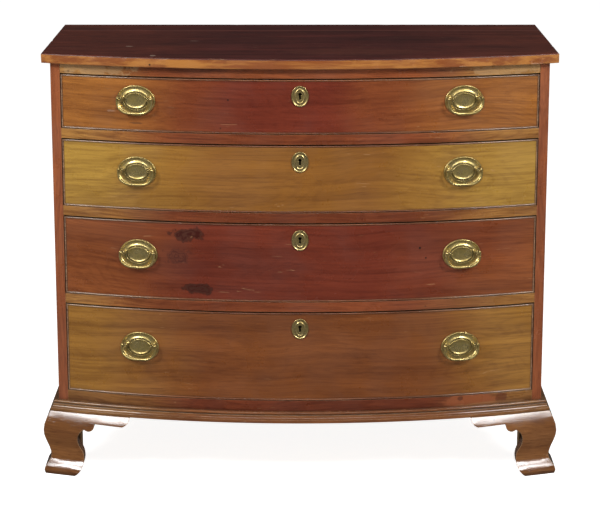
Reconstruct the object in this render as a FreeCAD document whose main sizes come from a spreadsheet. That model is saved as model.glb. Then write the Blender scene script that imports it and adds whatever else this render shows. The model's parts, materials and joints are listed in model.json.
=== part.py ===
import FreeCAD, Part

import math
import os
import re

import Sketcher

# Bow front chest of four graduated drawers on ogee bracket feet. Millimetres, +Z up, the bowed
# front faces -Y. The origin lies on the floor under the centre of the whole chest.

V = FreeCAD.Vector
doc = FreeCAD.newDocument("BowFrontChest")
sheet = doc.addObject("Spreadsheet::Sheet", "Size")

# ---------------------------------------------------------------- driving dimensions
sizes = {
    # case
    "case_width": 1007, "case_depth": 442, "bow_rise": 86, "side_thickness": 20,
    "foot_height": 134, "bottom_rail_height": 44, "blade_thickness": 20.5, "top_rail_height": 20.5,
    "opening_height_1": 112, "opening_height_2": 139.5, "opening_height_3": 164,
    "opening_height_4": 187.5, "glue_line": 0.1,
    # top board
    "top_thickness": 20, "top_side_overhang": 17, "top_front_overhang": 15,
    "top_rear_overhang": 3, "top_arris": 1.5,
    # bottom board and its dovetails
    "bottom_board_thickness": 20, "bottom_rail_thickness": 20, "case_pin_width": 16,
    "case_pin_margin": 36, "case_pin_pitch": 84,
    # rails and blades
    "blade_end_depth": 45, "tenon_length": 10, "tenon_shoulder": 4, "tenon_margin": 9,
    "rear_rail_depth": 60, "rail_tail_length": 14, "rail_tail_width": 26, "dovetail_slope": 0.1667,
    "rail_tenon_thickness": 9, "rail_tenon_inset": 5.5,
    # back boards, runners, kickers and stops
    "back_thickness": 12, "rabbet_width": 10, "back_inset": 1, "back_lap": 9,
    "runner_width": 34, "runner_dado": 4, "runner_end_gap": 2,
    "stop_spacing": 400, "stop_width": 50, "stop_length": 16, "stop_height": 6,
    # base moulding
    "moulding_height": 21.5, "moulding_projection": 17, "moulding_top_projection": 8,
    "moulding_fascia": 7, "moulding_cove": 6, "moulding_bead": 5.5, "moulding_quirk": 1,
    # ogee bracket feet
    "foot_top_projection": 17.5, "foot_bulge_projection": 31.5, "foot_bulge_height": 95,
    "foot_waist_projection": 17.5, "foot_waist_height": 37, "foot_toe_projection": 32,
    "foot_toe_height": 8, "foot_sole_projection": 30, "foot_backing": 10,
    "heel_reach": 33, "ankle_reach": 53.5, "ankle_height": 38, "hollow_reach": 41,
    "hollow_height": 80, "arch_reach": 56, "arch_height": 103.5, "lobe_radius": 13,
    "lobe_reach": 77, "lobe_height": 116.5, "scroll_reach": 136, "scroll_height": 114.5,
    "bracket_reach": 152, "bracket_tip_radius": 24, "block_width": 34, "block_lift": 2,
    "rear_bracket_thickness": 20, "rear_column_width": 62,
    # drawers
    "drawer_front_thickness": 22, "drawer_side_gap": 1.5, "drawer_top_gap": 2.2,
    "drawer_bottom_gap": 1.2, "running_gap": 0.3, "drawer_rear_gap": 15,
    "drawer_side_thickness": 12, "drawer_side_drop": 4, "drawer_back_drop": 8,
    "tail_width": 30, "tail_lap": 7.5, "bottom_panel_thickness": 6, "groove_height": 8,
    "groove_depth": 5,
    # cockbead
    "bead_width": 3, "bead_depth": 5, "bead_projection": 2,
    # lock
    "lock_width": 60, "lock_height": 50, "lock_depth": 12, "bolt_width": 18,
    "bolt_thickness": 5, "bolt_height": 30, "bolt_travel": 8, "bolt_top_gap": 0.5,
    "bolt_play": 0.3, "bolt_mortise_play": 1.5, "key_drop": 31, "keyhole_diameter": 6.8,
    "keyhole_slot": 3.6, "keyhole_drop": 10.4,
    # escutcheon
    "escutcheon_width": 34.5, "escutcheon_height": 42.5, "escutcheon_drop": 4,
    "escutcheon_thickness": 1.2, "escutcheon_rim": 2.4, "escutcheon_rim_height": 2.6,
    "escutcheon_boss_width": 18, "escutcheon_boss_height": 28, "escutcheon_boss_rise": 2.4,
    # pulls
    "pull_offset": 328, "pull_height_share": 0.5625, "plate_width": 80, "plate_height": 62,
    "plate_thickness": 1.2, "plate_rim": 2.6, "plate_rim_height": 2.8, "plate_boss_width": 47,
    "plate_boss_height": 33, "plate_boss_rise": 3.4, "plate_boss_taper": 3,
    "post_spacing": 55, "post_lift": 6, "post_neck": 5, "post_reach": 12.5, "post_head": 8.4,
    "bail_rod": 4.4, "bail_pin": 2.4, "bail_pin_play": 0.1, "bail_width": 72,
    "bail_drop": 30.5, "bail_shoulder": 2.4, "bail_arm_drop": 12, "bail_hip_reach": 32,
    "bail_hip_drop": 22, "bail_foot_reach": 20, "bail_side_play": 0.4, "bail_pin_reach": 3.5,
}

for row, (alias, value) in enumerate(sizes.items(), 1):
    sheet.set(f"A{row}", alias)
    sheet.set(f"B{row}", str(value))
    sheet.setAlias(f"B{row}", alias)
doc.recompute()

# ---------------------------------------------------------------- sizes that follow
follows = {
    "half": "case_width / 2",
    "inside": "half - side_thickness",
    "bow_radius": "(half ^ 2 + bow_rise ^ 2) / (2 * bow_rise)",
    "depth": "case_depth + bow_rise + moulding_projection + top_rear_overhang",
    "case_back": "depth / 2 - top_rear_overhang",
    "bow_centre": "case_back - case_depth + bow_radius - bow_rise",
    "board_back": "case_back - back_inset",
    "board_front": "board_back - back_thickness",
    "floor_4": "foot_height + bottom_rail_height",
    "ceiling_4": "floor_4 + opening_height_4",
    "floor_3": "ceiling_4 + blade_thickness",
    "ceiling_3": "floor_3 + opening_height_3",
    "floor_2": "ceiling_3 + blade_thickness",
    "ceiling_2": "floor_2 + opening_height_2",
    "floor_1": "ceiling_2 + blade_thickness",
    "ceiling_1": "floor_1 + opening_height_1",
    "case_top": "ceiling_1 + top_rail_height",
    "blade_back": "bow_centre - sqrt(bow_radius ^ 2 - inside ^ 2) + blade_end_depth",
    "front_half": "inside - drawer_side_gap",
    "side_inner": "front_half - drawer_side_thickness",
    "drawer_rear": "board_front - drawer_rear_gap",
    "back_face": "drawer_rear - drawer_side_thickness",
    "panel_low": "running_gap + groove_height",
    "panel_high": "panel_low + bottom_panel_thickness",
    "tail_end": "bow_centre - sqrt(bow_radius ^ 2 - front_half ^ 2) + tail_lap",
    "lock_back": "bow_centre - bow_radius + drawer_front_thickness",
    "lock_front": "lock_back - lock_depth",
    "bolt_front": "lock_front + (lock_depth - bolt_thickness) / 2",
}
follow_word = re.compile(r"\b(" + "|".join(follows) + r")\b")
alias_word = re.compile(r"(?<![.\w])(" + "|".join(sizes) + r")\b")


def bind(text):
    # writes an expression out until it names only cells of the sheet
    text = str(text)
    while follow_word.search(text):
        text = follow_word.sub(lambda found: "(" + follows[found.group(1)] + ")", text)
    return alias_word.sub(r"Size.\1", text)


def number(text):
    value = sheet.evalExpression(bind(text))
    return float(getattr(value, "Value", value))


def bow(x, grow=0):
    # Y of the bowed front at the given X, on the case's own curve grown outwards
    return f"(bow_centre - sqrt((bow_radius + ({grow})) ^ 2 - ({x}) ^ 2))"


# ---------------------------------------------------------------- sketches and features
def plane_of(body, role):
    return next(part for part in body.Origin.OriginFeatures if part.Role == role)


def new_body(label, place=None):
    body = doc.addObject("PartDesign::Body", label)
    body.Label = label
    for axis, text in (place or {}).items():
        body.setExpression(f"Placement.Base.{axis}", bind(text))
    return body


def new_sketch(body, role, level):
    # a sketch on one of the body's own planes; the level is measured along X, Y or Z
    sketch = body.newObject("Sketcher::SketchObject", body.Label + "_sketch")
    sketch.AttachmentSupport = (plane_of(body, role), [""])
    sketch.MapMode = "FlatFace"
    text = f"-({level})" if role == "XZ_Plane" else str(level)
    sketch.setExpression("AttachmentOffset.Base.z", bind(text))
    return sketch


def fix_point(sketch, geometry, point, x, y):
    for kind, text in (("DistanceX", x), ("DistanceY", y)):
        index = sketch.addConstraint(Sketcher.Constraint(kind, -1, 1, geometry, point, number(text)))
        sketch.setExpression(f"Constraints[{index}]", bind(text))


def fix_radius(sketch, geometry, radius):
    index = sketch.addConstraint(Sketcher.Constraint("Radius", geometry, number(radius)))
    sketch.setExpression(f"Constraints[{index}]", bind(radius))


def add_loop(sketch, points, flip=1):
    # A closed outline. A point is (x, y), or (x, y, radius, side) where an arc leads on to the
    # next point: side 1 has the arc's centre on the left of the way there, side -1 on the right.
    corners = [(f"{flip} * ({p[0]})", str(p[1])) for p in points]
    places = [V(number(x), number(y), 0) for x, y in corners]
    first = sketch.GeometryCount
    ends = []
    for i, point in enumerate(points):
        start, stop = places[i], places[(i + 1) % len(points)]
        if len(point) == 2:
            sketch.addGeometry(Part.LineSegment(start, stop), False)
            ends.append((1, 2))
            continue
        radius, side = number(point[2]), point[3] * flip
        chord = stop - start
        left = V(-chord.y, chord.x, 0).normalize()
        reach = math.sqrt(radius ** 2 - (chord.Length / 2) ** 2)
        centre = (start + stop) * 0.5 + left * (reach * side)
        begin, finish = (start, stop) if side > 0 else (stop, start)
        angles = [math.atan2(p.y - centre.y, p.x - centre.x) for p in (begin, finish)]
        if angles[1] < angles[0]:
            angles[1] += 2 * math.pi
        circle = Part.Circle(centre, V(0, 0, 1), radius)
        sketch.addGeometry(Part.ArcOfCircle(circle, angles[0], angles[1]), False)
        ends.append((1, 2) if side > 0 else (2, 1))
    count = len(points)
    for i in range(count):
        before = (i - 1) % count
        join = Sketcher.Constraint("Coincident", first + before, ends[before][1], first + i, ends[i][0])
        sketch.addConstraint(join)
        fix_point(sketch, first + i, ends[i][0], *corners[i])
    for i, point in enumerate(points):
        if len(point) > 2:
            fix_radius(sketch, first + i, point[2])


def add_circle(sketch, x, y, radius):
    centre = V(number(x), number(y), 0)
    geometry = sketch.addGeometry(Part.Circle(centre, V(0, 0, 1), number(radius)), False)
    fix_point(sketch, geometry, 3, x, y)
    fix_radius(sketch, geometry, radius)


def regular(x, y, across, count=8):
    # a regular outline with an even number of flats, measured across them
    reach = f"({across}) / 2 / {math.cos(math.pi / count)}"
    turns = [math.pi * (2 * i + 1) / count for i in range(count)]
    return [(f"{x} + {reach} * {math.cos(a)}", f"{y} + {reach} * {math.sin(a)}") for a in turns]


def oval(y, width, height, count):
    turns = [2 * math.pi * i / count for i in range(count)]
    return [(f"({width}) / 2 * {math.cos(a)}", f"{y} + ({height}) / 2 * {math.sin(a)}") for a in turns]


def extrude(kind, body, sketch, length, onward):
    feature = body.newObject("PartDesign::" + kind, body.Label + "_" + kind.lower())
    feature.Profile = (sketch, [""])
    feature.setExpression("Length", bind(length))
    feature.Reversed = onward
    return feature


def outlines(body, role, low, high, loops, flip, circles):
    sketch = new_sketch(body, role, high if role == "XZ_Plane" else low)
    for points in loops:
        add_loop(sketch, points, flip)
    for circle in circles:
        add_circle(sketch, *circle)
    return sketch


def pad(body, role, low, high, loops=(), flip=1, circles=()):
    # material between two levels along the axis that the plane faces
    sketch = outlines(body, role, low, high, loops, flip, circles)
    return extrude("Pad", body, sketch, f"({high}) - ({low})", False)


def pocket(body, role, low, high, loops=(), flip=1, circles=()):
    sketch = outlines(body, role, low, high, loops, flip, circles)
    return extrude("Pocket", body, sketch, f"({high}) - ({low})", True)


def pad_x(body, low, high, loops=(), flip=1, circles=()):
    # material between two distances from the middle plane, on either side of it
    ends = (low, high) if flip > 0 else (f"-({high})", f"-({low})")
    return pad(body, "YZ_Plane", ends[0], ends[1], loops, 1, circles)


def pocket_x(body, low, high, loops, flip=1):
    ends = (low, high) if flip > 0 else (f"-({high})", f"-({low})")
    return pocket(body, "YZ_Plane", ends[0], ends[1], loops)


def revolve(body, points, half_angle):
    # a section (radius grown from the bow, Z) swung about the bow's upright axis, both ways
    sketch = new_sketch(body, "YZ_Plane", 0)
    mirrored = []
    for point in points:
        turned_arc = (point[2], -point[3]) if len(point) > 2 else ()
        mirrored.append((f"bow_centre - bow_radius - ({point[0]})", point[1]) + turned_arc)
    add_loop(sketch, mirrored)
    axis_y = number("bow_centre")
    axis = sketch.addGeometry(Part.LineSegment(V(axis_y, 0, 0), V(axis_y, 100, 0)), True)
    fix_point(sketch, axis, 1, "bow_centre", 0)
    fix_point(sketch, axis, 2, "bow_centre", 100)
    feature = body.newObject("PartDesign::Revolution", body.Label + "_revolution")
    feature.Profile = (sketch, [""])
    feature.ReferenceAxis = (sketch, ["Axis0"])
    feature.Midplane = True
    feature.setExpression("Angle", bind(f"2 * ({half_angle})"))
    return feature


def box_loop(x0, y0, x1, y1):
    return [(x0, y0), (x1, y0), (x1, y1), (x0, y1)]


def rows(low, high, count):
    # centres of equal shares of a height
    return [f"(({low}) + (({high}) - ({low})) * {2 * i + 1} / {2 * count})" for i in range(count)]


sides = (("left", -1), ("right", 1))
nodes = []


def keep(item):
    nodes.append(item)
    return item


def compound(label, parts):
    group = doc.addObject("Part::Compound", label)
    group.Label = label
    group.Links = parts
    return keep(group)


# ---------------------------------------------------------------- top board
top = keep(new_body("top_board"))
top_half = "(half + top_side_overhang)"
top_corner = bow(top_half, "top_front_overhang")
slab = pad(top, "XY_Plane", "case_top", "case_top + top_thickness", [[
    (f"-{top_half}", "depth / 2"),
    (f"-{top_half}", top_corner, "bow_radius + top_front_overhang", 1),
    (top_half, top_corner),
    (top_half, "depth / 2"),
]])
doc.recompute()
rise = number("case_top + top_thickness")
arris = [
    f"Edge{i}" for i, edge in enumerate(top.Shape.Edges, 1)
    if edge.BoundBox.ZMin > rise - 0.01 and edge.BoundBox.YMin < number("depth / 2") - 1
]
ease = top.newObject("PartDesign::Chamfer", "top_board_arris")
ease.Base = (slab, arris)
ease.setExpression("Size", bind("top_arris"))
top.Tip = ease


# ---------------------------------------------------------------- case joints
def rail_tails(low, high, grow=0):
    # lapped dovetail at the end of a top rail, in plan: wider at the outer end
    narrow = f"(rail_tail_width / 2 + ({grow}))"
    wide = f"(rail_tail_width / 2 + rail_tail_length * dovetail_slope + ({grow}))"
    mid = f"((({low}) + ({high})) / 2)"
    return [
        ("inside - 1", f"{mid} - {narrow}"),
        (f"inside + rail_tail_length + ({grow})", f"{mid} - {wide}"),
        (f"inside + rail_tail_length + ({grow})", f"{mid} + {wide}"),
        ("inside - 1", f"{mid} + {narrow}"),
    ]


front_rail_span = (f"{bow('inside')} + 4", "blade_back")
rear_rail_span = ("board_front - rear_rail_depth", "board_front")
pin_count = 4


def case_pins(grow=0):
    # pins of the bottom board between the tails of a case side, wider at the top
    loops = []
    for i in range(pin_count):
        mid = f"(board_front - case_pin_margin - case_pin_pitch * {i})"
        slim = f"(case_pin_width / 2 + ({grow}))"
        broad = f"(case_pin_width / 2 + bottom_board_thickness * dovetail_slope + ({grow}))"
        loops.append([
            (f"{mid} - {slim}", "foot_height"),
            (f"{mid} + {slim}", "foot_height"),
            (f"{mid} + {broad}", f"foot_height + bottom_board_thickness + ({grow})"),
            (f"{mid} - {broad}", f"foot_height + bottom_board_thickness + ({grow})"),
        ])
    return loops


def blade_tenon(floor, grow=0):
    # tenon under the given drawer floor, seen from the side
    return box_loop(
        f"{bow('inside')} + tenon_margin - ({grow})",
        f"{floor} - blade_thickness + tenon_shoulder - ({grow})",
        f"blade_back - tenon_margin + ({grow})",
        f"{floor} - tenon_shoulder + ({grow})")


def rail_tenon(grow=0):
    return box_loop(
        f"{bow('inside')} + rail_tenon_inset - ({grow})", f"foot_height + tenon_margin - ({grow})",
        f"{bow('inside')} + rail_tenon_inset + rail_tenon_thickness + ({grow})",
        f"floor_4 - tenon_margin + ({grow})")


def runner_levels():
    # lower and upper face of each pair of runners, and of the kickers over the top drawer
    levels = [(f"floor_{i} - blade_thickness", f"floor_{i}", "blade_back") for i in (1, 2, 3)]
    rail_back = bow("inside", "-bottom_rail_thickness")
    levels.append(("foot_height + bottom_board_thickness", "floor_4", rail_back))
    levels.append(("ceiling_1", "case_top", "blade_back"))
    return levels


# ---------------------------------------------------------------- case sides
for name, flip in sides:
    side = keep(new_body("case_side_" + name))
    pad(side, "XY_Plane", "foot_height", "case_top", [[
        ("inside", bow("inside"), "bow_radius", 1),
        ("half", bow("half")),
        ("half", "case_back"),
        ("inside", "case_back"),
    ]], flip)
    # rabbet for the back boards
    pocket(side, "XY_Plane", "foot_height", "case_top", [
        box_loop("inside - 1", "board_front", "inside + rabbet_width", "case_back + 1")], flip)
    # dovetail sockets for the two top rails
    pocket(side, "XY_Plane", "ceiling_1 - glue_line", "case_top", [
        rail_tails(*front_rail_span, "glue_line"), rail_tails(*rear_rail_span, "glue_line")], flip)
    # spaces between the tails that hold the bottom board
    pocket_x(side, "inside - 1", "half + 1", case_pins("glue_line"), flip)
    # mortises for the blades and the bottom rail
    pocket_x(side, "inside - 1", "inside + tenon_length + glue_line",
             [blade_tenon(f"floor_{i}", "glue_line") for i in (1, 2, 3)] + [rail_tenon("glue_line")], flip)
    # housings for runners and kickers
    pocket_x(side, "inside - 1", "inside + runner_dado + glue_line", [
        box_loop(f"{start} - glue_line", f"{low} - glue_line",
                 "board_front - runner_end_gap + glue_line", f"{high} + glue_line")
        for low, high, start in runner_levels()[:4]], flip)

# ---------------------------------------------------------------- bottom board
bottom = keep(new_body("bottom_board"))
board_arc = "-(bottom_rail_thickness + glue_line)"
pad(bottom, "XY_Plane", "foot_height", "foot_height + bottom_board_thickness", [[
    ("-(inside - glue_line)", "board_front - glue_line"),
    ("-(inside - glue_line)", bow("inside - glue_line", board_arc),
     "bow_radius - bottom_rail_thickness - glue_line", 1),
    ("inside - glue_line", bow("inside - glue_line", board_arc)),
    ("inside - glue_line", "board_front - glue_line"),
]])
for name, flip in sides:
    pad_x(bottom, "inside - glue_line - 1", "half - glue_line", case_pins(), flip)


# ---------------------------------------------------------------- rails and blades
def bowed_blade(label, low, high):
    body = new_body(label)
    pad(body, "XY_Plane", low, high, [[
        ("-(inside - glue_line)", "blade_back"),
        ("-(inside - glue_line)", bow("inside - glue_line"), "bow_radius", 1),
        ("inside - glue_line", bow("inside - glue_line")),
        ("inside - glue_line", "blade_back"),
    ]])
    return body


def bolt_slot(grow):
    # the bolt's outline in plan with play all round
    return box_loop(
        f"-(bolt_width / 2 + {grow})", f"bolt_front - {grow}",
        f"bolt_width / 2 + {grow}", f"bolt_front + bolt_thickness + {grow}")


def bolt_mortise(body, ceiling):
    # takes the raised bolt of the drawer below
    pocket(body, "XY_Plane", ceiling, f"{ceiling} + bolt_travel", [bolt_slot("bolt_mortise_play")])


front_rail = keep(bowed_blade("top_rail_front", "ceiling_1", "case_top"))
rear_rail = keep(new_body("top_rail_rear"))
pad(rear_rail, "XY_Plane", "ceiling_1", "case_top", [box_loop(
    "-(inside - glue_line)", "board_front - rear_rail_depth",
    "inside - glue_line", "board_front - glue_line")])
for name, flip in sides:
    pad(front_rail, "XY_Plane", "ceiling_1", "case_top", [rail_tails(*front_rail_span)], flip)
    pad(rear_rail, "XY_Plane", "ceiling_1", "case_top", [rail_tails(*rear_rail_span)], flip)
bolt_mortise(front_rail, "ceiling_1")

for i in (1, 2, 3):
    blade = keep(bowed_blade(f"blade_under_{i}", f"floor_{i} - blade_thickness", f"floor_{i}"))
    for name, flip in sides:
        pad_x(blade, "inside - glue_line - 1", "inside + tenon_length", [blade_tenon(f"floor_{i}")], flip)
    bolt_mortise(blade, f"ceiling_{i + 1}")

rail = keep(new_body("bottom_rail"))
pad(rail, "XY_Plane", "foot_height", "floor_4", [[
    ("-(inside - glue_line)", bow("inside - glue_line", "-bottom_rail_thickness")),
    ("-(inside - glue_line)", bow("inside - glue_line"), "bow_radius", 1),
    ("inside - glue_line", bow("inside - glue_line")),
    ("inside - glue_line", bow("inside - glue_line", "-bottom_rail_thickness"),
     "bow_radius - bottom_rail_thickness", -1),
]])
for name, flip in sides:
    pad_x(rail, "inside - 3", "inside + tenon_length", [rail_tenon()], flip)

# ---------------------------------------------------------------- back boards
share = "((case_top - foot_height) / 3)"
boards = []
for i in range(3):
    low = f"(foot_height + {share} * {i})"
    high = f"(foot_height + {share} * {i + 1})"
    lower = f"({low} - back_lap + glue_line)" if i else low
    middle = "((board_front + board_back) / 2)"
    section = [
        ("board_front", low),
        (middle, low),
        (middle, lower),
        ("board_back", lower),
        ("board_back", f"{high} - back_lap" if i < 2 else high),
        (middle, f"{high} - back_lap" if i < 2 else high),
        (middle, f"{high} - glue_line"),
        ("board_front", f"{high} - glue_line"),
    ]
    if not i:
        section = section[:1] + section[3:]
        section[1] = ("board_back", low)
    if i == 2:
        section = section[:4] + [("board_back", high), ("board_front", high)]
    board = new_body(f"back_board_{i + 1}")
    edge = "inside + rabbet_width - glue_line"
    pad(board, "YZ_Plane", f"-({edge})", edge, [section])
    boards.append(board)
compound("back_boards", boards)

# ---------------------------------------------------------------- runners, kickers and stops
runners = []
for i, (low, high, start) in enumerate(runner_levels(), 1):
    outer = "inside + runner_dado" if i < 5 else "inside - glue_line"
    stop = "board_front - runner_end_gap" if i < 5 else "board_front - rear_rail_depth - glue_line"
    for name, flip in sides:
        runner = new_body(f"runner_{i}_{name}")
        pad(runner, "XY_Plane", low, high, [
            box_loop("inside - runner_width", f"{start} + glue_line", outer, stop)], flip)
        runners.append(runner)
compound("drawer_runners", runners)

stops = []
for i in (1, 2, 3, 4):
    base = f"floor_{i}" if i < 4 else "foot_height + bottom_board_thickness"
    for name, flip in sides:
        stop = new_body(f"stop_{i}_{name}")
        outer = "(stop_spacing / 2 + stop_width / 2)"
        face = bow(outer, "-drawer_front_thickness") + " + running_gap"
        pad(stop, "XY_Plane", base, f"floor_{i} + stop_height", [box_loop(
            "stop_spacing / 2 - stop_width / 2", face, outer, f"{face} + stop_length")], flip)
        stops.append(stop)
compound("drawer_stops", stops)


# ---------------------------------------------------------------- mitres at the front corners
def mitre_line(grow):
    # where the side, grown outwards, meets the equally grown bow
    return (f"(half + ({grow}))", bow(f"half + ({grow})", grow))


inner_mitre = mitre_line("-foot_backing - 20")
outer_mitre = mitre_line("foot_toe_projection + 12")
mitre_slope = (
    f"((({outer_mitre[1]}) - ({inner_mitre[1]})) / (({outer_mitre[0]}) - ({inner_mitre[0]})))"
)
corner_y = bow("half")


def mitre_y(x):
    # the common mitre plane through the case's front corner
    return f"({corner_y} + ({x} - half) * {mitre_slope})"


def cut_beyond_mitre(body, low, high, flip, keep_front):
    # removes what lies behind the mitre from a front piece, or before it from a side piece
    near, far = "(half - 60)", "(half + 140)"
    beyond = f"({corner_y} + 260)" if keep_front else f"({corner_y} - 160)"
    pocket(body, "XY_Plane", low, high, [[
        (near, mitre_y(near)),
        (far, mitre_y(far)),
        (far, beyond),
        (near, beyond),
    ]], flip)


# ---------------------------------------------------------------- base moulding
bead_low = "(foot_height + moulding_height - moulding_bead)"
fascia_top = "(foot_height + moulding_fascia)"
cove = [
    (f"moulding_projection - moulding_cove * {math.sin(a)}",
     f"{fascia_top} + moulding_cove * {1 - math.cos(a)}")
    for a in (math.pi * i / 6 for i in range(4))
]
moulding_section = [("glue_line", "foot_height"), ("moulding_projection", "foot_height")] + cove + [
    ("moulding_projection - moulding_cove", f"{bead_low} - moulding_quirk"),
    ("moulding_top_projection", f"{bead_low} - moulding_quirk"),
    ("moulding_top_projection", bead_low),
    ("moulding_top_projection + moulding_bead * 0.36", f"{bead_low} + moulding_bead * 0.22"),
    ("moulding_top_projection + moulding_bead * 0.36", f"{bead_low} + moulding_bead * 0.78"),
    ("moulding_top_projection", "foot_height + moulding_height"),
    ("glue_line", "foot_height + moulding_height"),
]
swing = "asin((half + 60) / (bow_radius + moulding_projection))"
front_moulding = keep(new_body("moulding_front"))
revolve(front_moulding, moulding_section, swing)
for name, flip in sides:
    cut_beyond_mitre(front_moulding, "foot_height - 1", "foot_height + moulding_height + 1", flip, True)
for name, flip in sides:
    strip = keep(new_body("moulding_" + name))
    pad(strip, "XZ_Plane", f"{corner_y} - 40", "case_back", [
        [(f"half + {p[0]}",) + tuple(p[1:]) for p in moulding_section]], flip)
    cut_beyond_mitre(strip, "foot_height - 1", "foot_height + moulding_height + 1", flip, False)

# ---------------------------------------------------------------- ogee bracket feet
def swell(low, high, start, stop, steps):
    # the part of an S-curve between two (projection, height) points that runs from the share
    # start to the share stop of it, in equal steps of height, without its first point
    points = []
    for k in range(1, steps + 1):
        share = start + (stop - start) * k / steps
        across = (1 - math.cos(math.pi * share)) / 2
        points.append((f"{low[0]} + ({high[0]} - {low[0]}) * {across}",
                       f"{low[1]} + ({high[1]} - {low[1]}) * {share}"))
    return points


toe = ("foot_toe_projection", "foot_toe_height")
waist = ("foot_waist_projection", "foot_waist_height")
bulge = ("foot_bulge_projection", "foot_bulge_height")
brow = ("(2 * foot_top_projection - foot_bulge_projection)", "(2 * foot_height - foot_bulge_height)")
ogee_section = [("-foot_backing", "0"), ("foot_sole_projection", "0"), toe]
ogee_section += swell(toe, waist, 0, 1, 4)
ogee_section += swell(waist, bulge, 0, 1, 6)
ogee_section += swell(bulge, brow, 0, 0.5, 3)[:-1]
ogee_section += [
    ("foot_top_projection", "foot_height - glue_line"),
    ("-foot_backing", "foot_height - glue_line"),
]


def scroll_outline(start, way):
    # what the scroll saw takes away, from the heel to the tip; start is the case corner and
    # way the direction in which the bracket reaches
    def at(reach):
        return f"({start} + {way} * ({reach}))"

    slope = "((ankle_reach - hollow_reach) ^ 2 + (hollow_height - ankle_height) ^ 2)"
    ankle_radius = f"({slope} / (4 * (ankle_reach - hollow_reach)))"
    heel_step = "(ankle_reach - heel_reach)"
    heel_radius = f"(({heel_step} ^ 2 + ankle_height ^ 2) / (2 * {heel_step}))"
    arch_step = "(arch_reach - hollow_reach)"
    arch_radius = f"(({arch_step} ^ 2 + (arch_height - hollow_height) ^ 2) / (2 * {arch_step}))"
    return [
        (at("heel_reach"), "-1"),
        (at("heel_reach"), "0", heel_radius, way),
        (at("ankle_reach"), "ankle_height", ankle_radius, way),
        (at("(ankle_reach + hollow_reach) / 2"), "(ankle_height + hollow_height) / 2", ankle_radius, -way),
        (at("hollow_reach"), "hollow_height", arch_radius, -way),
        (at("arch_reach"), "arch_height", "lobe_radius", way),
        (at("lobe_reach"), "lobe_height"),
        (at("scroll_reach"), "scroll_height", "bracket_tip_radius", way),
        (at("bracket_reach"), "foot_height"),
        (at("bracket_reach"), "foot_height + 5"),
        (at("bracket_reach + 100"), "foot_height + 5"),
        (at("bracket_reach + 100"), "-1"),
    ]


front_brackets, side_brackets, rear_brackets, blocks = [], [], [], []
for name, flip in sides:
    # front foot: bowed front bracket, straight side bracket and a corner block
    front_bracket = new_body(f"bracket_front_{name}_face")
    revolve(front_bracket, ogee_section, swing)
    pocket(front_bracket, "XZ_Plane", f"{corner_y} - bow_rise - 60", f"{corner_y} + 120",
           [scroll_outline("half", -1)], flip)
    reach = "(half - bracket_reach - 50)"
    pocket(front_bracket, "XY_Plane", "-1", "foot_height + 1", [box_loop(
        "-half - 90", f"{corner_y} - bow_rise - 60", reach, f"{corner_y} + 150")], flip)
    cut_beyond_mitre(front_bracket, "-1", "foot_height + 1", flip, True)
    side_bracket = new_body(f"bracket_front_{name}_side")
    pad(side_bracket, "XZ_Plane", f"{corner_y} - 60", f"{corner_y} + bracket_reach + 1", [
        [(f"half + {p[0]}",) + tuple(p[1:]) for p in ogee_section]], flip)
    pocket_x(side_bracket, "half - foot_backing - 5", "half + foot_toe_projection + 5",
             [scroll_outline(corner_y, 1)], flip)
    cut_beyond_mitre(side_bracket, "-1", "foot_height + 1", flip, False)
    block = new_body(f"block_front_{name}")
    far = "half - foot_backing - glue_line"
    near = f"{far} - block_width"
    arc = "-(foot_backing + glue_line)"
    pad(block, "XY_Plane", "block_lift", "foot_height - glue_line", [[
        (near, bow(near, arc), "bow_radius - foot_backing - glue_line", 1),
        (far, bow(far, arc)),
        (far, f"{bow(near, arc)} + block_width + 8"),
        (near, f"{bow(near, arc)} + block_width + 8"),
    ]], flip)
    front_brackets.append(front_bracket)
    side_brackets.append(side_bracket)
    blocks.append(block)

    # rear foot: the same side bracket reversed, and a plain bracket at the back
    side_bracket = new_body(f"bracket_rear_{name}_side")
    pad(side_bracket, "XZ_Plane", "case_back - bracket_reach - 1", "case_back", [
        [(f"half + {p[0]}",) + tuple(p[1:]) for p in ogee_section]], flip)
    pocket_x(side_bracket, "half - foot_backing - 5", "half + foot_toe_projection + 5",
             [scroll_outline("case_back", -1)], flip)
    back_bracket = new_body(f"bracket_rear_{name}_back")
    outer = "half - foot_backing - glue_line"
    curve = "(foot_height - glue_line - heel_reach)"
    pad(back_bracket, "XZ_Plane", "case_back - rear_bracket_thickness", "case_back", [[
        (outer, "0"),
        (outer, "foot_height - glue_line"),
        (f"{outer} - rear_column_width - {curve} * 0.8", "foot_height - glue_line"),
        (f"{outer} - rear_column_width - {curve} * 0.8", "foot_height - glue_line - 12", curve, -1),
        (f"{outer} - rear_column_width", f"heel_reach - 4"),
        (f"{outer} - rear_column_width", "0"),
    ]], flip)
    block = new_body(f"block_rear_{name}")
    inner = "case_back - rear_bracket_thickness - glue_line"
    pad(block, "XY_Plane", "block_lift", "foot_height - glue_line", [box_loop(
        f"{outer} - block_width", f"{inner} - block_width", outer, inner)], flip)
    side_brackets.append(side_bracket)
    rear_brackets.append(back_bracket)
    blocks.append(block)
compound("foot_front_brackets", front_brackets)
compound("foot_side_brackets", side_brackets)
compound("foot_rear_brackets", rear_brackets)
compound("foot_blocks", blocks)


# ---------------------------------------------------------------- drawers
def tails(centres, end, start, grow=0, way=1):
    # tails in side view: broad at their end, narrowing towards the shoulder
    loops = []
    span = f"(({start}) - ({end})) * {way}"
    for z in centres:
        broad = f"(tail_width / 2 + ({grow}))"
        slim = f"(tail_width / 2 + ({grow}) - {span} * dovetail_slope)"
        loops.append([
            (end, f"{z} - {broad}"),
            (end, f"{z} + {broad}"),
            (start, f"{z} + {slim}"),
            (start, f"{z} - {slim}"),
        ])
    return loops


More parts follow.
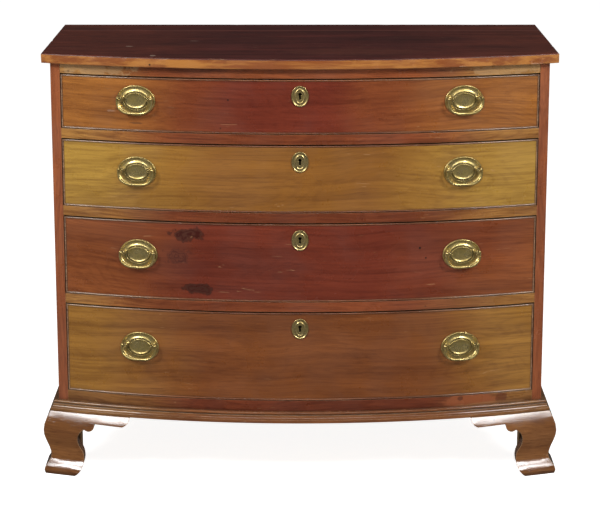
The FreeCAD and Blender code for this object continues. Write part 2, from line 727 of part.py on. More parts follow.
def keyhole(z):
    # a head over a narrow slot, as one outline in front view
    r, w = "(keyhole_diameter / 2)", "(keyhole_slot / 2)"
    neck = f"({z} - sqrt({r} ^ 2 - {w} ^ 2))"
    turns = [math.radians(45 * i - 22.5) for i in range(6)]
    head = [(f"{r} * {math.cos(a)}", f"{z} + {r} * {math.sin(a)}") for a in turns]
    return [(f"-{w}", neck), (f"-{w}", f"{z} - keyhole_drop"), (w, f"{z} - keyhole_drop"), (w, neck)] + head


pull_angle = "asin(pull_offset / bow_radius)"
shoulder_arc = "-(drawer_front_thickness + glue_line)"


def pull_place(flip, floor, height, out=0, along=0):
    # a point of the drawer face at a pull, moved outwards and along the face
    return {
        "x": f"{flip} * (pull_offset + ({out}) * sin({pull_angle}) + ({along}) * cos({pull_angle}))",
        "y": f"{bow('pull_offset')} - ({out}) * cos({pull_angle}) + ({along}) * sin({pull_angle})",
        "z": f"{floor} + {height} * pull_height_share",
    }


def turn_to_face(body, flip):
    body.Placement.Rotation = FreeCAD.Rotation(V(0, 0, 1), number(f"{flip} * {pull_angle}"))
    body.setExpression("Placement.Rotation.Angle", bind(f"{flip} * {pull_angle}"))


def make_front(i, floor, height, top, centres):
    front = keep(new_body(f"drawer_{i}_front", {"z": floor}))
    low = "drawer_bottom_gap"
    pad(front, "XY_Plane", low, top, [[
        ("-front_half", bow("front_half", "-drawer_front_thickness")),
        ("-front_half", bow("front_half", "-bead_depth"), "bow_radius - bead_depth", 1),
        ("front_half", bow("front_half", "-bead_depth")),
        ("front_half", bow("front_half", "-drawer_front_thickness"),
         "bow_radius - drawer_front_thickness", -1),
    ]])
    # the face stands between the beads
    edge = "(front_half - bead_width)"
    pad(front, "XY_Plane", f"{low} + bead_width", f"{top} - bead_width", [[
        (f"-{edge}", bow(edge, "-bead_depth - 1")),
        (f"-{edge}", bow(edge), "bow_radius", 1),
        (edge, bow(edge)),
        (edge, bow(edge, "-bead_depth - 1"), "bow_radius - bead_depth - 1", -1),
    ]])
    # groove for the bottom panel
    pocket(front, "XY_Plane", "panel_low - glue_line", "panel_high + glue_line", [[
        ("-side_inner", bow("side_inner", "-drawer_front_thickness - 2")),
        ("-side_inner", bow("side_inner", "groove_depth - drawer_front_thickness"),
         "bow_radius + groove_depth - drawer_front_thickness", 1),
        ("side_inner", bow("side_inner", "groove_depth - drawer_front_thickness")),
        ("side_inner", bow("side_inner", "-drawer_front_thickness - 2"),
         "bow_radius - drawer_front_thickness - 2", -1),
    ]])
    # half-blind sockets for the tails of the sides
    start = bow("front_half", "-drawer_front_thickness") + " + 4"
    for name, flip in sides:
        pocket_x(front, "side_inner - glue_line", "front_half + 1",
                 tails(centres, "tail_end - glue_line", start, "glue_line"), flip)
    # lock mortise and keyhole
    pocket(front, "XY_Plane", f"{top} - lock_height - glue_line", f"{top}", [box_loop(
        "-(lock_width / 2 + glue_line)", "lock_front - glue_line",
        "lock_width / 2 + glue_line", "lock_back + 3")])
    pocket(front, "XZ_Plane", "bow_centre - bow_radius - 3", "lock_front + 1",
           [keyhole(f"{height} - key_drop")])
    return front


def make_sides(i, floor, height, centres, rear_centres):
    pair = []
    side_top = f"({height} - drawer_side_drop)"
    for name, flip in sides:
        side = new_body(f"drawer_{i}_side_{name}", {"z": floor})
        pad(side, "XY_Plane", "running_gap", side_top, [[
            ("side_inner", bow("side_inner", shoulder_arc), f"bow_radius + {shoulder_arc}", 1),
            ("front_half", bow("front_half", shoulder_arc)),
            ("front_half", "back_face - glue_line"),
            ("side_inner", "back_face - glue_line"),
        ]], flip)
        start = bow("front_half", "-drawer_front_thickness") + " + 4"
        pad_x(side, "side_inner", "front_half", tails(centres, "tail_end", start), flip)
        rear = tails(rear_centres, "drawer_rear", "back_face - 4", way=-1)
        rear.append(box_loop("back_face - 4", "running_gap", "drawer_rear", "panel_high - glue_line"))
        pad_x(side, "side_inner", "front_half", rear, flip)
        pocket_x(side, "side_inner - 1", "side_inner + groove_depth", [box_loop(
            "tail_end - 2", "panel_low - glue_line", "drawer_rear + 2", "panel_high + glue_line")], flip)
        pair.append(side)
    compound(f"drawer_{i}_sides", pair)


def make_back(i, floor, height, rear_centres):
    back = keep(new_body(f"drawer_{i}_back", {"z": floor}))
    pad(back, "YZ_Plane", "-front_half", "front_half", [box_loop(
        "back_face", "panel_high + glue_line", "drawer_rear", f"{height} - drawer_back_drop")])
    for name, flip in sides:
        pocket_x(back, "side_inner - glue_line", "front_half + 1",
                 tails(rear_centres, "drawer_rear + 0.01", "back_face - 4", "glue_line", way=-1), flip)


def make_panel(i, floor):
    panel = keep(new_body(f"drawer_{i}_bottom", {"z": floor}))
    edge = "(side_inner + groove_depth - 3 * glue_line)"
    arc = "(groove_depth - drawer_front_thickness - 3 * glue_line)"
    inner = "(side_inner - glue_line)"
    groove = bow(inner, arc)
    step = bow("side_inner + groove_depth", shoulder_arc) + " + running_gap"
    pad(panel, "XY_Plane", "panel_low", "panel_high", [[
        (f"-{edge}", "drawer_rear"),
        (f"-{edge}", step),
        (f"-{inner}", step),
        (f"-{inner}", groove, f"bow_radius + {arc}", 1),
        (inner, groove),
        (inner, step),
        (edge, step),
        (edge, "drawer_rear"),
    ]])


def make_cockbead(i, floor, top):
    # four thin strips let into the edges of the face, the long ones following the bow
    strips = []
    low = "drawer_bottom_gap"
    for name, base in (("bottom", low), ("top", f"({top} - bead_width)")):
        strip = new_body(f"bead_{i}_{name}", {"z": floor})
        revolve(strip, box_loop("glue_line - bead_depth", base, "bead_projection", f"{base} + bead_width"),
                "asin(front_half / bow_radius)")
        for side, flip in sides:
            pocket(strip, "XY_Plane", f"{base} - 1", f"{base} + bead_width + 1", [box_loop(
                "front_half", f"{bow('front_half')} - 30",
                "front_half + 30", f"{bow('front_half')} + 30")], flip)
        strips.append(strip)
    inner = "(front_half - bead_width + glue_line)"
    for name, flip in sides:
        strip = new_body(f"bead_{i}_{name}", {"z": floor})
        pad(strip, "XY_Plane", f"{low} + bead_width", f"{top} - bead_width", [[
            (inner, f"{bow(inner)} + bead_depth - glue_line"),
            (inner, f"{bow(inner)} - bead_projection"),
            ("front_half", f"{bow('front_half')} - bead_projection"),
            ("front_half", f"{bow('front_half')} + bead_depth - glue_line"),
        ]], flip)
        strips.append(strip)
    compound(f"drawer_{i}_cockbead", strips)


def make_pull(label, flip, floor, height):
    # one casting: rimmed plate with a raised oval and two posts bored for the bail's pins; the
    # flats of a bore touch no more than the round pin does
    pull = new_body(label, pull_place(flip, floor, height))
    turn_to_face(pull, flip)
    lift = "-plate_rim_height"
    rim = "2 * plate_rim"
    pad(pull, "XZ_Plane", lift, "0", [oval("0", "plate_width", "plate_height", 16)])
    pocket(pull, "XZ_Plane", lift, "-plate_thickness", [
        oval("0", f"plate_width - {rim}", f"plate_height - {rim}", 16)])
    loft = pull.newObject("PartDesign::AdditiveLoft", label + "_boss")
    sections = []
    for level, taper in (("-plate_thickness / 2", "0"), ("-plate_boss_rise", "2 * plate_boss_taper")):
        sketch = new_sketch(pull, "XZ_Plane", level)
        add_loop(sketch, oval("0", f"plate_boss_width - {taper}", f"plate_boss_height - {taper}", 12))
        sections.append(sketch)
    loft.Profile = (sections[0], [""])
    loft.Sections = sections[1:]
    loft.Ruled = True
    pull.Tip = loft
    head = ("post_reach - post_head / 2", "post_reach + post_head / 2", "post_head")
    for low, high, across in (("plate_thickness / 2", "post_reach", "post_neck"), head):
        pad(pull, "XZ_Plane", f"-({high})", f"-({low})", [
            regular(f"({way} * post_spacing / 2)", "post_lift", across) for side, way in sides])
    pocket(pull, "YZ_Plane", "-(post_spacing / 2 + post_head)", "post_spacing / 2 + post_head", [
        regular("(-post_reach)", "post_lift", "bail_pin + bail_pin_play")])
    return pull


def make_bail(i, name, flip, floor, height):
    # a rod bent in its own plane about the round pins at its ends
    place = pull_place(flip, floor, height, "post_reach")
    place["z"] += " + post_lift"
    bail = keep(new_body(f"drawer_{i}_bail_{name}", place))
    turn_to_face(bail, flip)
    start = "(post_spacing / 2 + post_head / 2 + bail_side_play)"
    arm = "(bail_width / 2)"
    bends = [
        (start, "0"),
        (f"{arm} - bail_shoulder", "0"),
        (arm, "-bail_shoulder"),
        (arm, "-bail_arm_drop"),
        ("bail_hip_reach", "-bail_hip_drop"),
        ("bail_foot_reach", "-bail_drop"),
    ]
    route = [(f"-({x})", z) for x, z in bends] + bends[::-1]
    path = bail.newObject("Sketcher::SketchObject", bail.Label + "_path")
    path.AttachmentSupport = (plane_of(bail, "XZ_Plane"), [""])
    path.MapMode = "FlatFace"
    for step, (a, b) in enumerate(zip(route, route[1:])):
        ends = [V(number(x), number(z), 0) for x, z in (a, b)]
        path.addGeometry(Part.LineSegment(*ends), False)
        if step:
            path.addConstraint(Sketcher.Constraint("Coincident", step - 1, 2, step, 1))
        fix_point(path, step, 1, *a)
    fix_point(path, len(route) - 2, 2, *route[-1])
    ring = new_sketch(bail, "YZ_Plane", f"-({start})")
    add_loop(ring, regular("0", "0", "bail_rod", 6))
    rod = bail.newObject("PartDesign::AdditivePipe", bail.Label + "_rod")
    rod.Profile = (ring, [""])
    rod.Spine = (path, [""])
    rod.Transition = "Right corner"
    bail.Tip = rod
    for side, way in sides:
        pad_x(bail, "post_spacing / 2 - bail_pin_reach", f"{start} + bail_pin / 4", flip=way,
              circles=[("0", "0", "bail_pin / 2")])


def make_brasses(i, floor, height):
    # both pulls and the oval escutcheon of a drawer
    pieces = [make_pull(f"pull_{i}_{name}", flip, floor, height) for name, flip in sides]
    plate = new_body(f"escutcheon_{i}", {"y": "bow_centre - bow_radius", "z": floor})
    middle = f"({height} - key_drop - escutcheon_drop)"
    lift = "-escutcheon_rim_height"
    rim = "2 * escutcheon_rim"
    pad(plate, "XZ_Plane", lift, "0", [oval(middle, "escutcheon_width", "escutcheon_height", 12)])
    pocket(plate, "XZ_Plane", lift, "-escutcheon_thickness", [
        oval(middle, f"escutcheon_width - {rim}", f"escutcheon_height - {rim}", 12)])
    pad(plate, "XZ_Plane", "-escutcheon_boss_rise", "-escutcheon_thickness / 2", [
        oval(middle, "escutcheon_boss_width", "escutcheon_boss_height", 12)])
    pocket(plate, "XZ_Plane", "-20", "20", [keyhole(f"{height} - key_drop")])
    compound(f"drawer_{i}_brasses", pieces + [plate])


def make_lock(i, floor, height, top):
    lock = keep(new_body(f"drawer_{i}_lock", {"z": floor}))
    base = f"({top} - lock_height)"
    pad(lock, "XY_Plane", base, top, [box_loop(
        "-lock_width / 2", "lock_front", "lock_width / 2", "lock_back")])
    pocket(lock, "XY_Plane", f"{top} - bolt_height - bolt_top_gap - 1", f"{top} + 1",
           [bolt_slot("bolt_play")])
    pocket(lock, "XZ_Plane", "lock_front - 1", "bolt_front", [keyhole(f"{height} - key_drop")])
    bolt = keep(new_body(f"drawer_{i}_bolt", {"z": floor}))
    pad(bolt, "XY_Plane", f"{top} - bolt_top_gap - bolt_height", f"{top} - bolt_top_gap", [bolt_slot("0")])


tail_counts = {1: 2, 2: 3, 3: 3, 4: 4}
for i in (1, 2, 3, 4):
    floor, height = f"floor_{i}", f"opening_height_{i}"
    top_edge = f"({height} - drawer_top_gap)"
    side_top = f"({height} - drawer_side_drop)"
    front_rows = rows("running_gap", side_top, tail_counts[i])
    back_rows = rows("panel_high", f"{height} - drawer_back_drop", tail_counts[i])
    make_front(i, floor, height, top_edge, front_rows)
    make_sides(i, floor, height, front_rows, back_rows)
    make_back(i, floor, height, back_rows)
    make_panel(i, floor)
    make_cockbead(i, floor, top_edge)
    make_brasses(i, floor, height)
    for name, flip in sides:
        make_bail(i, name, flip, floor, height)
    make_lock(i, floor, height, top_edge)

# ---------------------------------------------------------------- check and write
doc.recompute()
faults = [item.Name for item in doc.Objects if "Invalid" in item.State or "Error" in item.State]
if faults:
    raise RuntimeError(f"failed objects: {faults}")

cutters = [item for item in doc.Objects if item.TypeId == "PartDesign::Pocket"]
for item in cutters:
    if item.BaseFeature and item.Shape.Volume > item.BaseFeature.Shape.Volume - 0.001:
        raise RuntimeError(f"{item.Name} cuts nothing")

os.makedirs("parts", exist_ok=True)
for item in nodes:
    if item.Shape.isNull() or not item.Shape.isValid():
        raise RuntimeError(f"{item.Label} has no valid shape")
    item.Shape.exportStep(f"parts/{item.Label}.step")
print(f"{len(nodes)} sub-parts, {sum(len(item.Shape.Solids) for item in nodes)} solids")
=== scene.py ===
import json
import math

import bmesh
import bpy
from mathutils import Matrix, Vector, noise


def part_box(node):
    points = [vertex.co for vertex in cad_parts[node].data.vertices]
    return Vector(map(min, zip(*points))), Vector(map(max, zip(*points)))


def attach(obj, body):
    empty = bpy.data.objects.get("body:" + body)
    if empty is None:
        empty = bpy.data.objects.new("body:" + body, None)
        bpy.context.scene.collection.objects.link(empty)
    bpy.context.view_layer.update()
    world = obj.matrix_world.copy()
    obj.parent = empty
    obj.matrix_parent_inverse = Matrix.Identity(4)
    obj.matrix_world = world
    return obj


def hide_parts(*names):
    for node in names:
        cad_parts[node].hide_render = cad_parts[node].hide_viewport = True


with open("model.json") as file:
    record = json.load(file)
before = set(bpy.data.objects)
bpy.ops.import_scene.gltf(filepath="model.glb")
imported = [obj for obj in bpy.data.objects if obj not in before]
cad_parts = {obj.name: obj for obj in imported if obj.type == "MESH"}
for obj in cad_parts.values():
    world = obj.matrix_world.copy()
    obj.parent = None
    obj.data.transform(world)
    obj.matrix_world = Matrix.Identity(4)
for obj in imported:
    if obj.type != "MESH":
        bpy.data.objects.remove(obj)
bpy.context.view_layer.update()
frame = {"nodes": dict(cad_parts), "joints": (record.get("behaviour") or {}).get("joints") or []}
nodes = frame["nodes"]
scene = bpy.context.scene
print("frame loaded:", len(nodes), "nodes")

# case and bow, read from the frame
sideLow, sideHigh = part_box("case_side_right")
railLow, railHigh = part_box("top_rail_front")
topLow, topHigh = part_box("top_board")
caseHalf, caseInside, caseBack = sideHigh.x, sideLow.x, sideHigh.y
bowApex = railLow.y
bowRise = sideLow.y - bowApex
bowRadius = (caseInside ** 2 + bowRise ** 2) / (2 * bowRise)
bowCentre = bowApex + bowRadius
drawers = (1, 2, 3, 4)
hinges = {joint["child"]: joint for joint in frame["joints"] if joint["type"] == "hinge"}


def bowY(x, out=0.0):
    # y of the bow at x, or of a curve that stands the given distance before it
    return bowCentre - math.sqrt((bowRadius + out) ** 2 - x * x)


def fill(tree, node, ins):
    # links sockets and sets plain values
    for key, value in (ins or {}).items():
        if isinstance(value, bpy.types.NodeSocket):
            tree.links.new(value, node.inputs[key])
        else:
            node.inputs[key].default_value = value


def put(tree, kind, ins=None, **settings):
    node = tree.nodes.new("ShaderNode" + kind)
    for key, value in settings.items():
        setattr(node, key, value)
    fill(tree, node, ins)
    return node


def newGroup(name, inputs, outputs):
    tree = bpy.data.node_groups.new(name, "ShaderNodeTree")
    kinds = {"f": "NodeSocketFloat", "v": "NodeSocketVector", "c": "NodeSocketColor"}
    for label, kind, value in inputs:
        socket = tree.interface.new_socket(label, in_out="INPUT", socket_type=kinds[kind])
        if value is not None:
            socket.default_value = value
    for label, kind in outputs:
        tree.interface.new_socket(label, in_out="OUTPUT", socket_type=kinds[kind])
    return tree, tree.nodes.new("NodeGroupInput").outputs, tree.nodes.new("NodeGroupOutput")


def useGroup(tree, group, ins):
    node = tree.nodes.new("ShaderNodeGroup")
    node.node_tree = group
    fill(tree, node, ins)
    return node.outputs


def maths(tree, operation, a, b=0.0):
    return put(tree, "Math", {0: a, 1: b}, operation=operation).outputs[0]


def times(tree, a, b):
    return maths(tree, "MULTIPLY", a, b)


def minus(tree, a, b):
    return maths(tree, "SUBTRACT", a, b)


def vectorMaths(tree, operation, ins):
    return put(tree, "VectorMath", ins, operation=operation)


def mixColour(tree, factor, a, b):
    return put(tree, "Mix", {0: factor, 6: a, 7: b}, data_type="RGBA").outputs[2]


def remap(tree, value, low, high, toLow=0.0, toHigh=1.0):
    ends = {0: value, 1: low, 2: high, 3: toLow, 4: toHigh}
    return put(tree, "MapRange", ends, interpolation_type="SMOOTHSTEP").outputs[0]


def stretch(tree, vector, scale):
    return put(tree, "Mapping", {"Vector": vector, "Scale": scale}).outputs[0]


def noiseOf(tree, vector, scale, detail, rough, distort=0.0):
    node = put(tree, "TexNoise", {"Vector": vector, "Scale": scale, "Detail": detail,
                                  "Roughness": rough, "Distortion": distort})
    return node.outputs[0]


def rgb(r, g, b):
    return (r, g, b, 1.0)


figureLook = {
    # how far the grain wanders, and the scale of that
    "wanderBy": .05, "wanderScale": 2.6,
    # each noise: stretch along and across the grain, scale, detail, roughness, distortion
    "bands": (.9, 24, 1.2, 4, .52, 0), "streak": (1.7, 150, 1.0, 3, .5, 0), "fine": (4.5, 380, 1.0, 3, .5, 0),
    "ground": (1.5, 7.5, 1.0, 2, .45, .3), "pores": (30, 800, 1.0, 2, .5, 0), "curl": (22, 5, 1.0, 3, .5, .4),
    "blotch": (3.2, 6.5, 1.2, 5, .6, .8),
    # the noise values between which a tone fades in
    "bandsFade": (.28, .74), "streakFade": (.40, .74), "fineFade": (.42, .72), "poresFade": (.6, .7),
    "curlFade": (.42, .72), "blotchFade": (.46, .74), "ringFade": (.2, 1.0), "ringQuiet": (.62, .42),
    "ringCount": 210.0, "fineShare": .85, "fineHeight": .4}


def buildWoodFigure():
    # the tones of long grain, as streaks, growth rings, pores, curl and stains
    look = figureLook
    tree, given, out = newGroup("woodFigure", [
        ("Vector", "v", None), ("Pale", "c", rgb(.5, .3, .15)), ("Mid", "c", rgb(.35, .18, .08)),
        ("Dark", "c", rgb(.15, .06, .03)), ("Streaks", "f", .5), ("Blotches", "f", .4),
        ("Curl", "f", .2), ("Pores", "f", .5), ("Rings", "f", .3)],
        [("Color", "c"), ("Height", "f")])
    wander = put(tree, "TexNoise", {"Vector": given["Vector"], "Scale": look["wanderScale"], "Detail": 2.0})
    offset = vectorMaths(tree, "SUBTRACT", {0: wander.outputs["Color"], 1: (.5, .5, .5)}).outputs[0]
    small = vectorMaths(tree, "SCALE", {0: offset, 3: look["wanderBy"]}).outputs[0]
    wavy = vectorMaths(tree, "ADD", {0: given["Vector"], 1: small}).outputs[0]

    def grain(kind):
        along, across, scale, detail, rough, distort = look[kind]
        return noiseOf(tree, stretch(tree, wavy, (along, across, across)), scale, detail, rough, distort)

    def faded(value, kind, amount):
        return times(tree, remap(tree, value, *look[kind + "Fade"]), amount)

    bands, fine = grain("bands"), grain("fine")
    # growth rings, cut flat, are the contour lines of a long soft noise
    waves = maths(tree, "SINE", times(tree, grain("ground"), look["ringCount"]))
    rings = times(tree, remap(tree, waves, *look["ringFade"]), remap(tree, bands, *look["ringQuiet"]))
    pores = faded(grain("pores"), "pores", given["Pores"])
    colour = mixColour(tree, remap(tree, bands, *look["bandsFade"]), given["Mid"], given["Pale"])
    darker = [faded(grain("streak"), "streak", given["Streaks"]),
              faded(fine, "fine", times(tree, given["Streaks"], look["fineShare"])),
              times(tree, rings, given["Rings"]), faded(grain("blotch"), "blotch", given["Blotches"])]
    for mask in darker:
        colour = mixColour(tree, mask, colour, given["Dark"])
    colour = mixColour(tree, faded(grain("curl"), "curl", given["Curl"]), colour, given["Pale"])
    colour = mixColour(tree, pores, colour, given["Dark"])
    tree.links.new(colour, out.inputs["Color"])
    tree.links.new(minus(tree, times(tree, fine, look["fineHeight"]), pores), out.inputs["Height"])
    return tree


# from here on a noise is its scale, detail, roughness and perhaps distortion, and a fade is the two
# values between which a mask grows
wearLook = {"samples": 6, "bend": (.995, .8), "patchNoise": (34, 4, .6), "patchFade": (.35, .62)}


def buildEdgeWear():
    # a mask on edges, broken into patches, and the rounded normal there
    tree, given, out = newGroup("edgeWear", [
        ("Vector", "v", None), ("Radius", "f", .0015), ("Amount", "f", .6), ("Patchiness", "f", .5)],
        [("Mask", "f"), ("Normal", "v")])
    look = wearLook
    rounded = put(tree, "Bevel", {"Radius": given["Radius"]}, samples=look["samples"]).outputs[0]
    flat = put(tree, "NewGeometry").outputs["Normal"]
    along = vectorMaths(tree, "DOT_PRODUCT", {0: rounded, 1: flat}).outputs["Value"]
    edge = remap(tree, along, *look["bend"])
    patches = noiseOf(tree, given["Vector"], *look["patchNoise"])
    gaps = minus(tree, 1.0, remap(tree, patches, *look["patchFade"]))
    patchy = minus(tree, 1.0, times(tree, given["Patchiness"], gaps))
    tree.links.new(times(tree, times(tree, edge, patchy), given["Amount"]), out.inputs["Mask"])
    tree.links.new(rounded, out.inputs["Normal"])
    return tree


shadeAndGrimeLook = {"samples": 6, "fade": (.75, .2)}


def buildShadeAndGrime():
    # a mask in corners and hollows from ambient occlusion, used as painted shade in colour and as grime in
    # roughness
    tree, given, out = newGroup("shadeAndGrime", [("Distance", "f", .01), ("Amount", "f", .7)], [("Mask", "f")])
    shade = put(tree, "AmbientOcclusion", {"Distance": given["Distance"]}, samples=shadeAndGrimeLook["samples"])
    dark = remap(tree, shade.outputs["AO"], *shadeAndGrimeLook["fade"])
    tree.links.new(times(tree, dark, given["Amount"]), out.inputs["Mask"])
    return tree


markLook = {
    "dullNoise": (9, 5, .6), "dullFade": (.35, .7), "scratchStretch": (18, 420, 160),
    "scratchNoise": (1.0, 3, .5, 1.2), "scratchFade": (.7, .76), "holeScale": 26.0, "holeFade": (.075, .045),
    "pickNoise": (9, 2, .5), "pickFade": (.55, .6)}


def buildMarks():
    # short scratches, dull handled patches and pinholes in an old finish
    tree, given, out = newGroup("marks", [("Vector", "v", None), ("Holes", "f", .5)],
                                [("Dull", "f"), ("Scratch", "f"), ("Hole", "f")])
    look = markLook
    dull = remap(tree, noiseOf(tree, given["Vector"], *look["dullNoise"]), *look["dullFade"])
    lines = noiseOf(tree, stretch(tree, given["Vector"], look["scratchStretch"]), *look["scratchNoise"])
    cells = put(tree, "TexVoronoi", {"Vector": given["Vector"], "Scale": look["holeScale"]}, feature="F1")
    dots = remap(tree, cells.outputs["Distance"], *look["holeFade"])
    pick = remap(tree, noiseOf(tree, given["Vector"], *look["pickNoise"]), *look["pickFade"])
    tree.links.new(dull, out.inputs["Dull"])
    tree.links.new(remap(tree, lines, *look["scratchFade"]), out.inputs["Scratch"])
    tree.links.new(times(tree, times(tree, dots, pick), given["Holes"]), out.inputs["Hole"])
    return tree


patchLook = {
    "noise": (46, 4, .65), "ragged": 2.6, "fade": (1.05, .75), "ringCount": 15.0, "ringFade": (-.6, .9)}


def buildPatch():
    # an irregular patch about a point, with rings inside
    tree, given, out = newGroup("patch", [
        ("Vector", "v", None), ("Centre", "v", None), ("Size", "v", (.05, .05, .02)), ("Ragged", "f", .5)],
        [("Mask", "f"), ("Rings", "f")])
    gap = vectorMaths(tree, "SUBTRACT", {0: given["Vector"], 1: given["Centre"]}).outputs[0]
    unit = vectorMaths(tree, "DIVIDE", {0: gap, 1: given["Size"]}).outputs[0]
    reach = vectorMaths(tree, "LENGTH", {0: unit}).outputs["Value"]
    look = patchLook
    rough = noiseOf(tree, given["Vector"], *look["noise"])
    push = times(tree, minus(tree, rough, .5), given["Ragged"])
    bent = maths(tree, "ADD", reach, times(tree, push, look["ragged"]))
    mask = remap(tree, bent, *look["fade"])
    waves = maths(tree, "SINE", times(tree, bent, look["ringCount"]))
    tree.links.new(mask, out.inputs["Mask"])
    tree.links.new(times(tree, remap(tree, waves, *look["ringFade"]), mask), out.inputs["Rings"])
    return tree


woodFigure, edgeWear, shadeAndGrime = buildWoodFigure(), buildEdgeWear(), buildShadeAndGrime()
marks, patch = buildMarks(), buildPatch()

# what a finish has unless it says otherwise: axis is the way of the grain, bent is small where the
# grain follows a bowed face, and clear and full are where the painted light of the paler ends begins and is
# full
usualWood = {
    "axis": "x", "seed": 0, "bent": 1.0, "streaks": .5, "blotches": .4, "curl": .2, "pores": .5, "rings": .22,
    "clear": .2, "full": .46, "uneven": .34, "unevenNoise": (3, 3, .5), "spots": (), "holes": .5,
    "holeTone": rgb(.01, .005, .003), "scratches": .35, "scratchDepth": .6, "edge": .0016, "wear": .6,
    "patchiness": .6, "shadeAndDirt": .75, "shadeAndDirtReach": .012, "dirtRough": .3, "shadeAndDirtTone": rgb(.012, .006, .004),
    "gloss": (.26, .44), "bump": .25, "bumpDistance": .0006, "ripple": 1.4, "rippleStretch": (5, 22, 22),
    "rippleNoise": (1, 2, .5), "coat": .3, "coatRough": .16, "ior": 1.47}
grainTurns = {"x": (0, 0, 0), "y": (0, 0, math.pi / 2), "z": (0, math.pi / 2, 0)}


def addLitEnds(tree, look, turned, x):
    # painted light: pale and mid tones made paler towards both ends of the piece, as where side light falls
    # on a bow, with a random wobble
    drift = noiseOf(tree, turned, *look["unevenNoise"])
    wobble = times(tree, minus(tree, drift, .5), look["uneven"])
    reach = maths(tree, "ADD", maths(tree, "ABSOLUTE", x), wobble)
    toEnd = remap(tree, reach, look["clear"], look["full"])
    return (mixColour(tree, toEnd, look["pale"], look["endsPale"]),
            mixColour(tree, toEnd, look["mid"], look["ends"]))


def addSpots(tree, look, place, colour):
    for spot in look["spots"]:
        found = useGroup(tree, patch, {"Vector": place, "Centre": spot["at"], "Size": spot["size"],
                                       "Ragged": spot["ragged"]})
        colour = mixColour(tree, times(tree, found["Mask"], spot["strength"]), colour, spot["colour"])
        if spot["rings"]:
            colour = mixColour(tree, times(tree, found["Rings"], spot["rings"]), colour, look["dark"])
    return colour


def addBand(tree, band, turned, z, colour):
    # an edge of another colour below a height, broken up along its length
    edge = remap(tree, z, band["below"] + band["softOver"], band["below"] - band["softUnder"])
    broken = remap(tree, noiseOf(tree, stretch(tree, turned, band["stretch"]), *band["noise"]), *band["fade"])
    tones = mixColour(tree, broken, band["colour"], band["worn"])
    return mixColour(tree, times(tree, edge, band["strength"]), colour, tones)


def addSeam(tree, seam, y, colour):
    # the joint between two boards
    away = maths(tree, "ABSOLUTE", minus(tree, y, seam["at"]))
    return mixColour(tree, remap(tree, away, seam["outer"], seam["inner"]), colour, seam["colour"])


def makeWood(name, finish):
    look = dict(usualWood, **finish)
    material = bpy.data.materials.new(name)
    material.use_nodes = True
    tree = material.node_tree
    shader = tree.nodes["Principled BSDF"]
    place = put(tree, "TexCoord").outputs["Object"]
    split = put(tree, "SeparateXYZ", {0: place}).outputs
    seed = look["seed"]
    turned = put(tree, "Mapping", {"Vector": place, "Rotation": grainTurns[look["axis"]],
                                   "Location": (seed * 1.7, seed * .9, seed * 2.3),
                                   "Scale": (1, look["bent"], 1)}).outputs[0]
    pale, mid = look["pale"], look["mid"]
    if "ends" in look:
        pale, mid = addLitEnds(tree, look, turned, split["X"])
    figure = useGroup(tree, woodFigure, {
        "Vector": turned, "Pale": pale, "Mid": mid, "Dark": look["dark"], "Streaks": look["streaks"],
        "Blotches": look["blotches"], "Curl": look["curl"], "Pores": look["pores"], "Rings": look["rings"]})
    colour = addSpots(tree, look, place, figure["Color"])
    if "band" in look:
        colour = addBand(tree, look["band"], turned, split["Z"], colour)
    if "seam" in look:
        colour = addSeam(tree, look["seam"], split["Y"], colour)
    found = useGroup(tree, marks, {"Vector": turned, "Holes": look["holes"]})
    worn = useGroup(tree, edgeWear, {"Vector": place, "Radius": look["edge"], "Amount": look["wear"],
                                     "Patchiness": look["patchiness"]})
    # painted shade: the hollows mask darkens the colour in corners, gaps and hollows, and adds roughness
    # there as dirt
    shadeAndDirt = useGroup(tree, shadeAndGrime, {"Distance": look["shadeAndDirtReach"], "Amount": look["shadeAndDirt"]})
    layers = [(times(tree, found["Scratch"], look["scratches"]), look["worn"]), (worn["Mask"], look["worn"]),
              (shadeAndDirt["Mask"], look["shadeAndDirtTone"]), (found["Hole"], look["holeTone"])]
    for mask, tone in layers:
        colour = mixColour(tree, mask, colour, tone)
    rough = remap(tree, found["Dull"], 0, 1, *look["gloss"])
    rough = maths(tree, "ADD", rough, times(tree, shadeAndDirt["Mask"], look["dirtRough"]))
    depth = minus(tree, figure["Height"], times(tree, found["Scratch"], look["scratchDepth"]))
    ripple = noiseOf(tree, stretch(tree, turned, look["rippleStretch"]), *look["rippleNoise"])
    depth = maths(tree, "ADD", depth, times(tree, ripple, look["ripple"]))
    bump = put(tree, "Bump", {"Height": depth, "Strength": look["bump"], "Distance": look["bumpDistance"],
                              "Normal": worn["Normal"]})
    fill(tree, shader, {"Base Color": colour, "Roughness": rough, "Normal": bump.outputs[0],
                        "Coat Weight": look["coat"], "Coat Roughness": look["coatRough"], "IOR": look["ior"]})
    return material


usualMetal = {
    "broadNoise": (60, 4, .6), "broadFade": (.35, .68), "fineNoise": (420, 4, .65), "fineFade": (.4, .65),
    "edge": .0007, "patchiness": .4, "dirtRough": .35, "dirtDull": .5, "bump": .12, "bumpDistance": .0002}


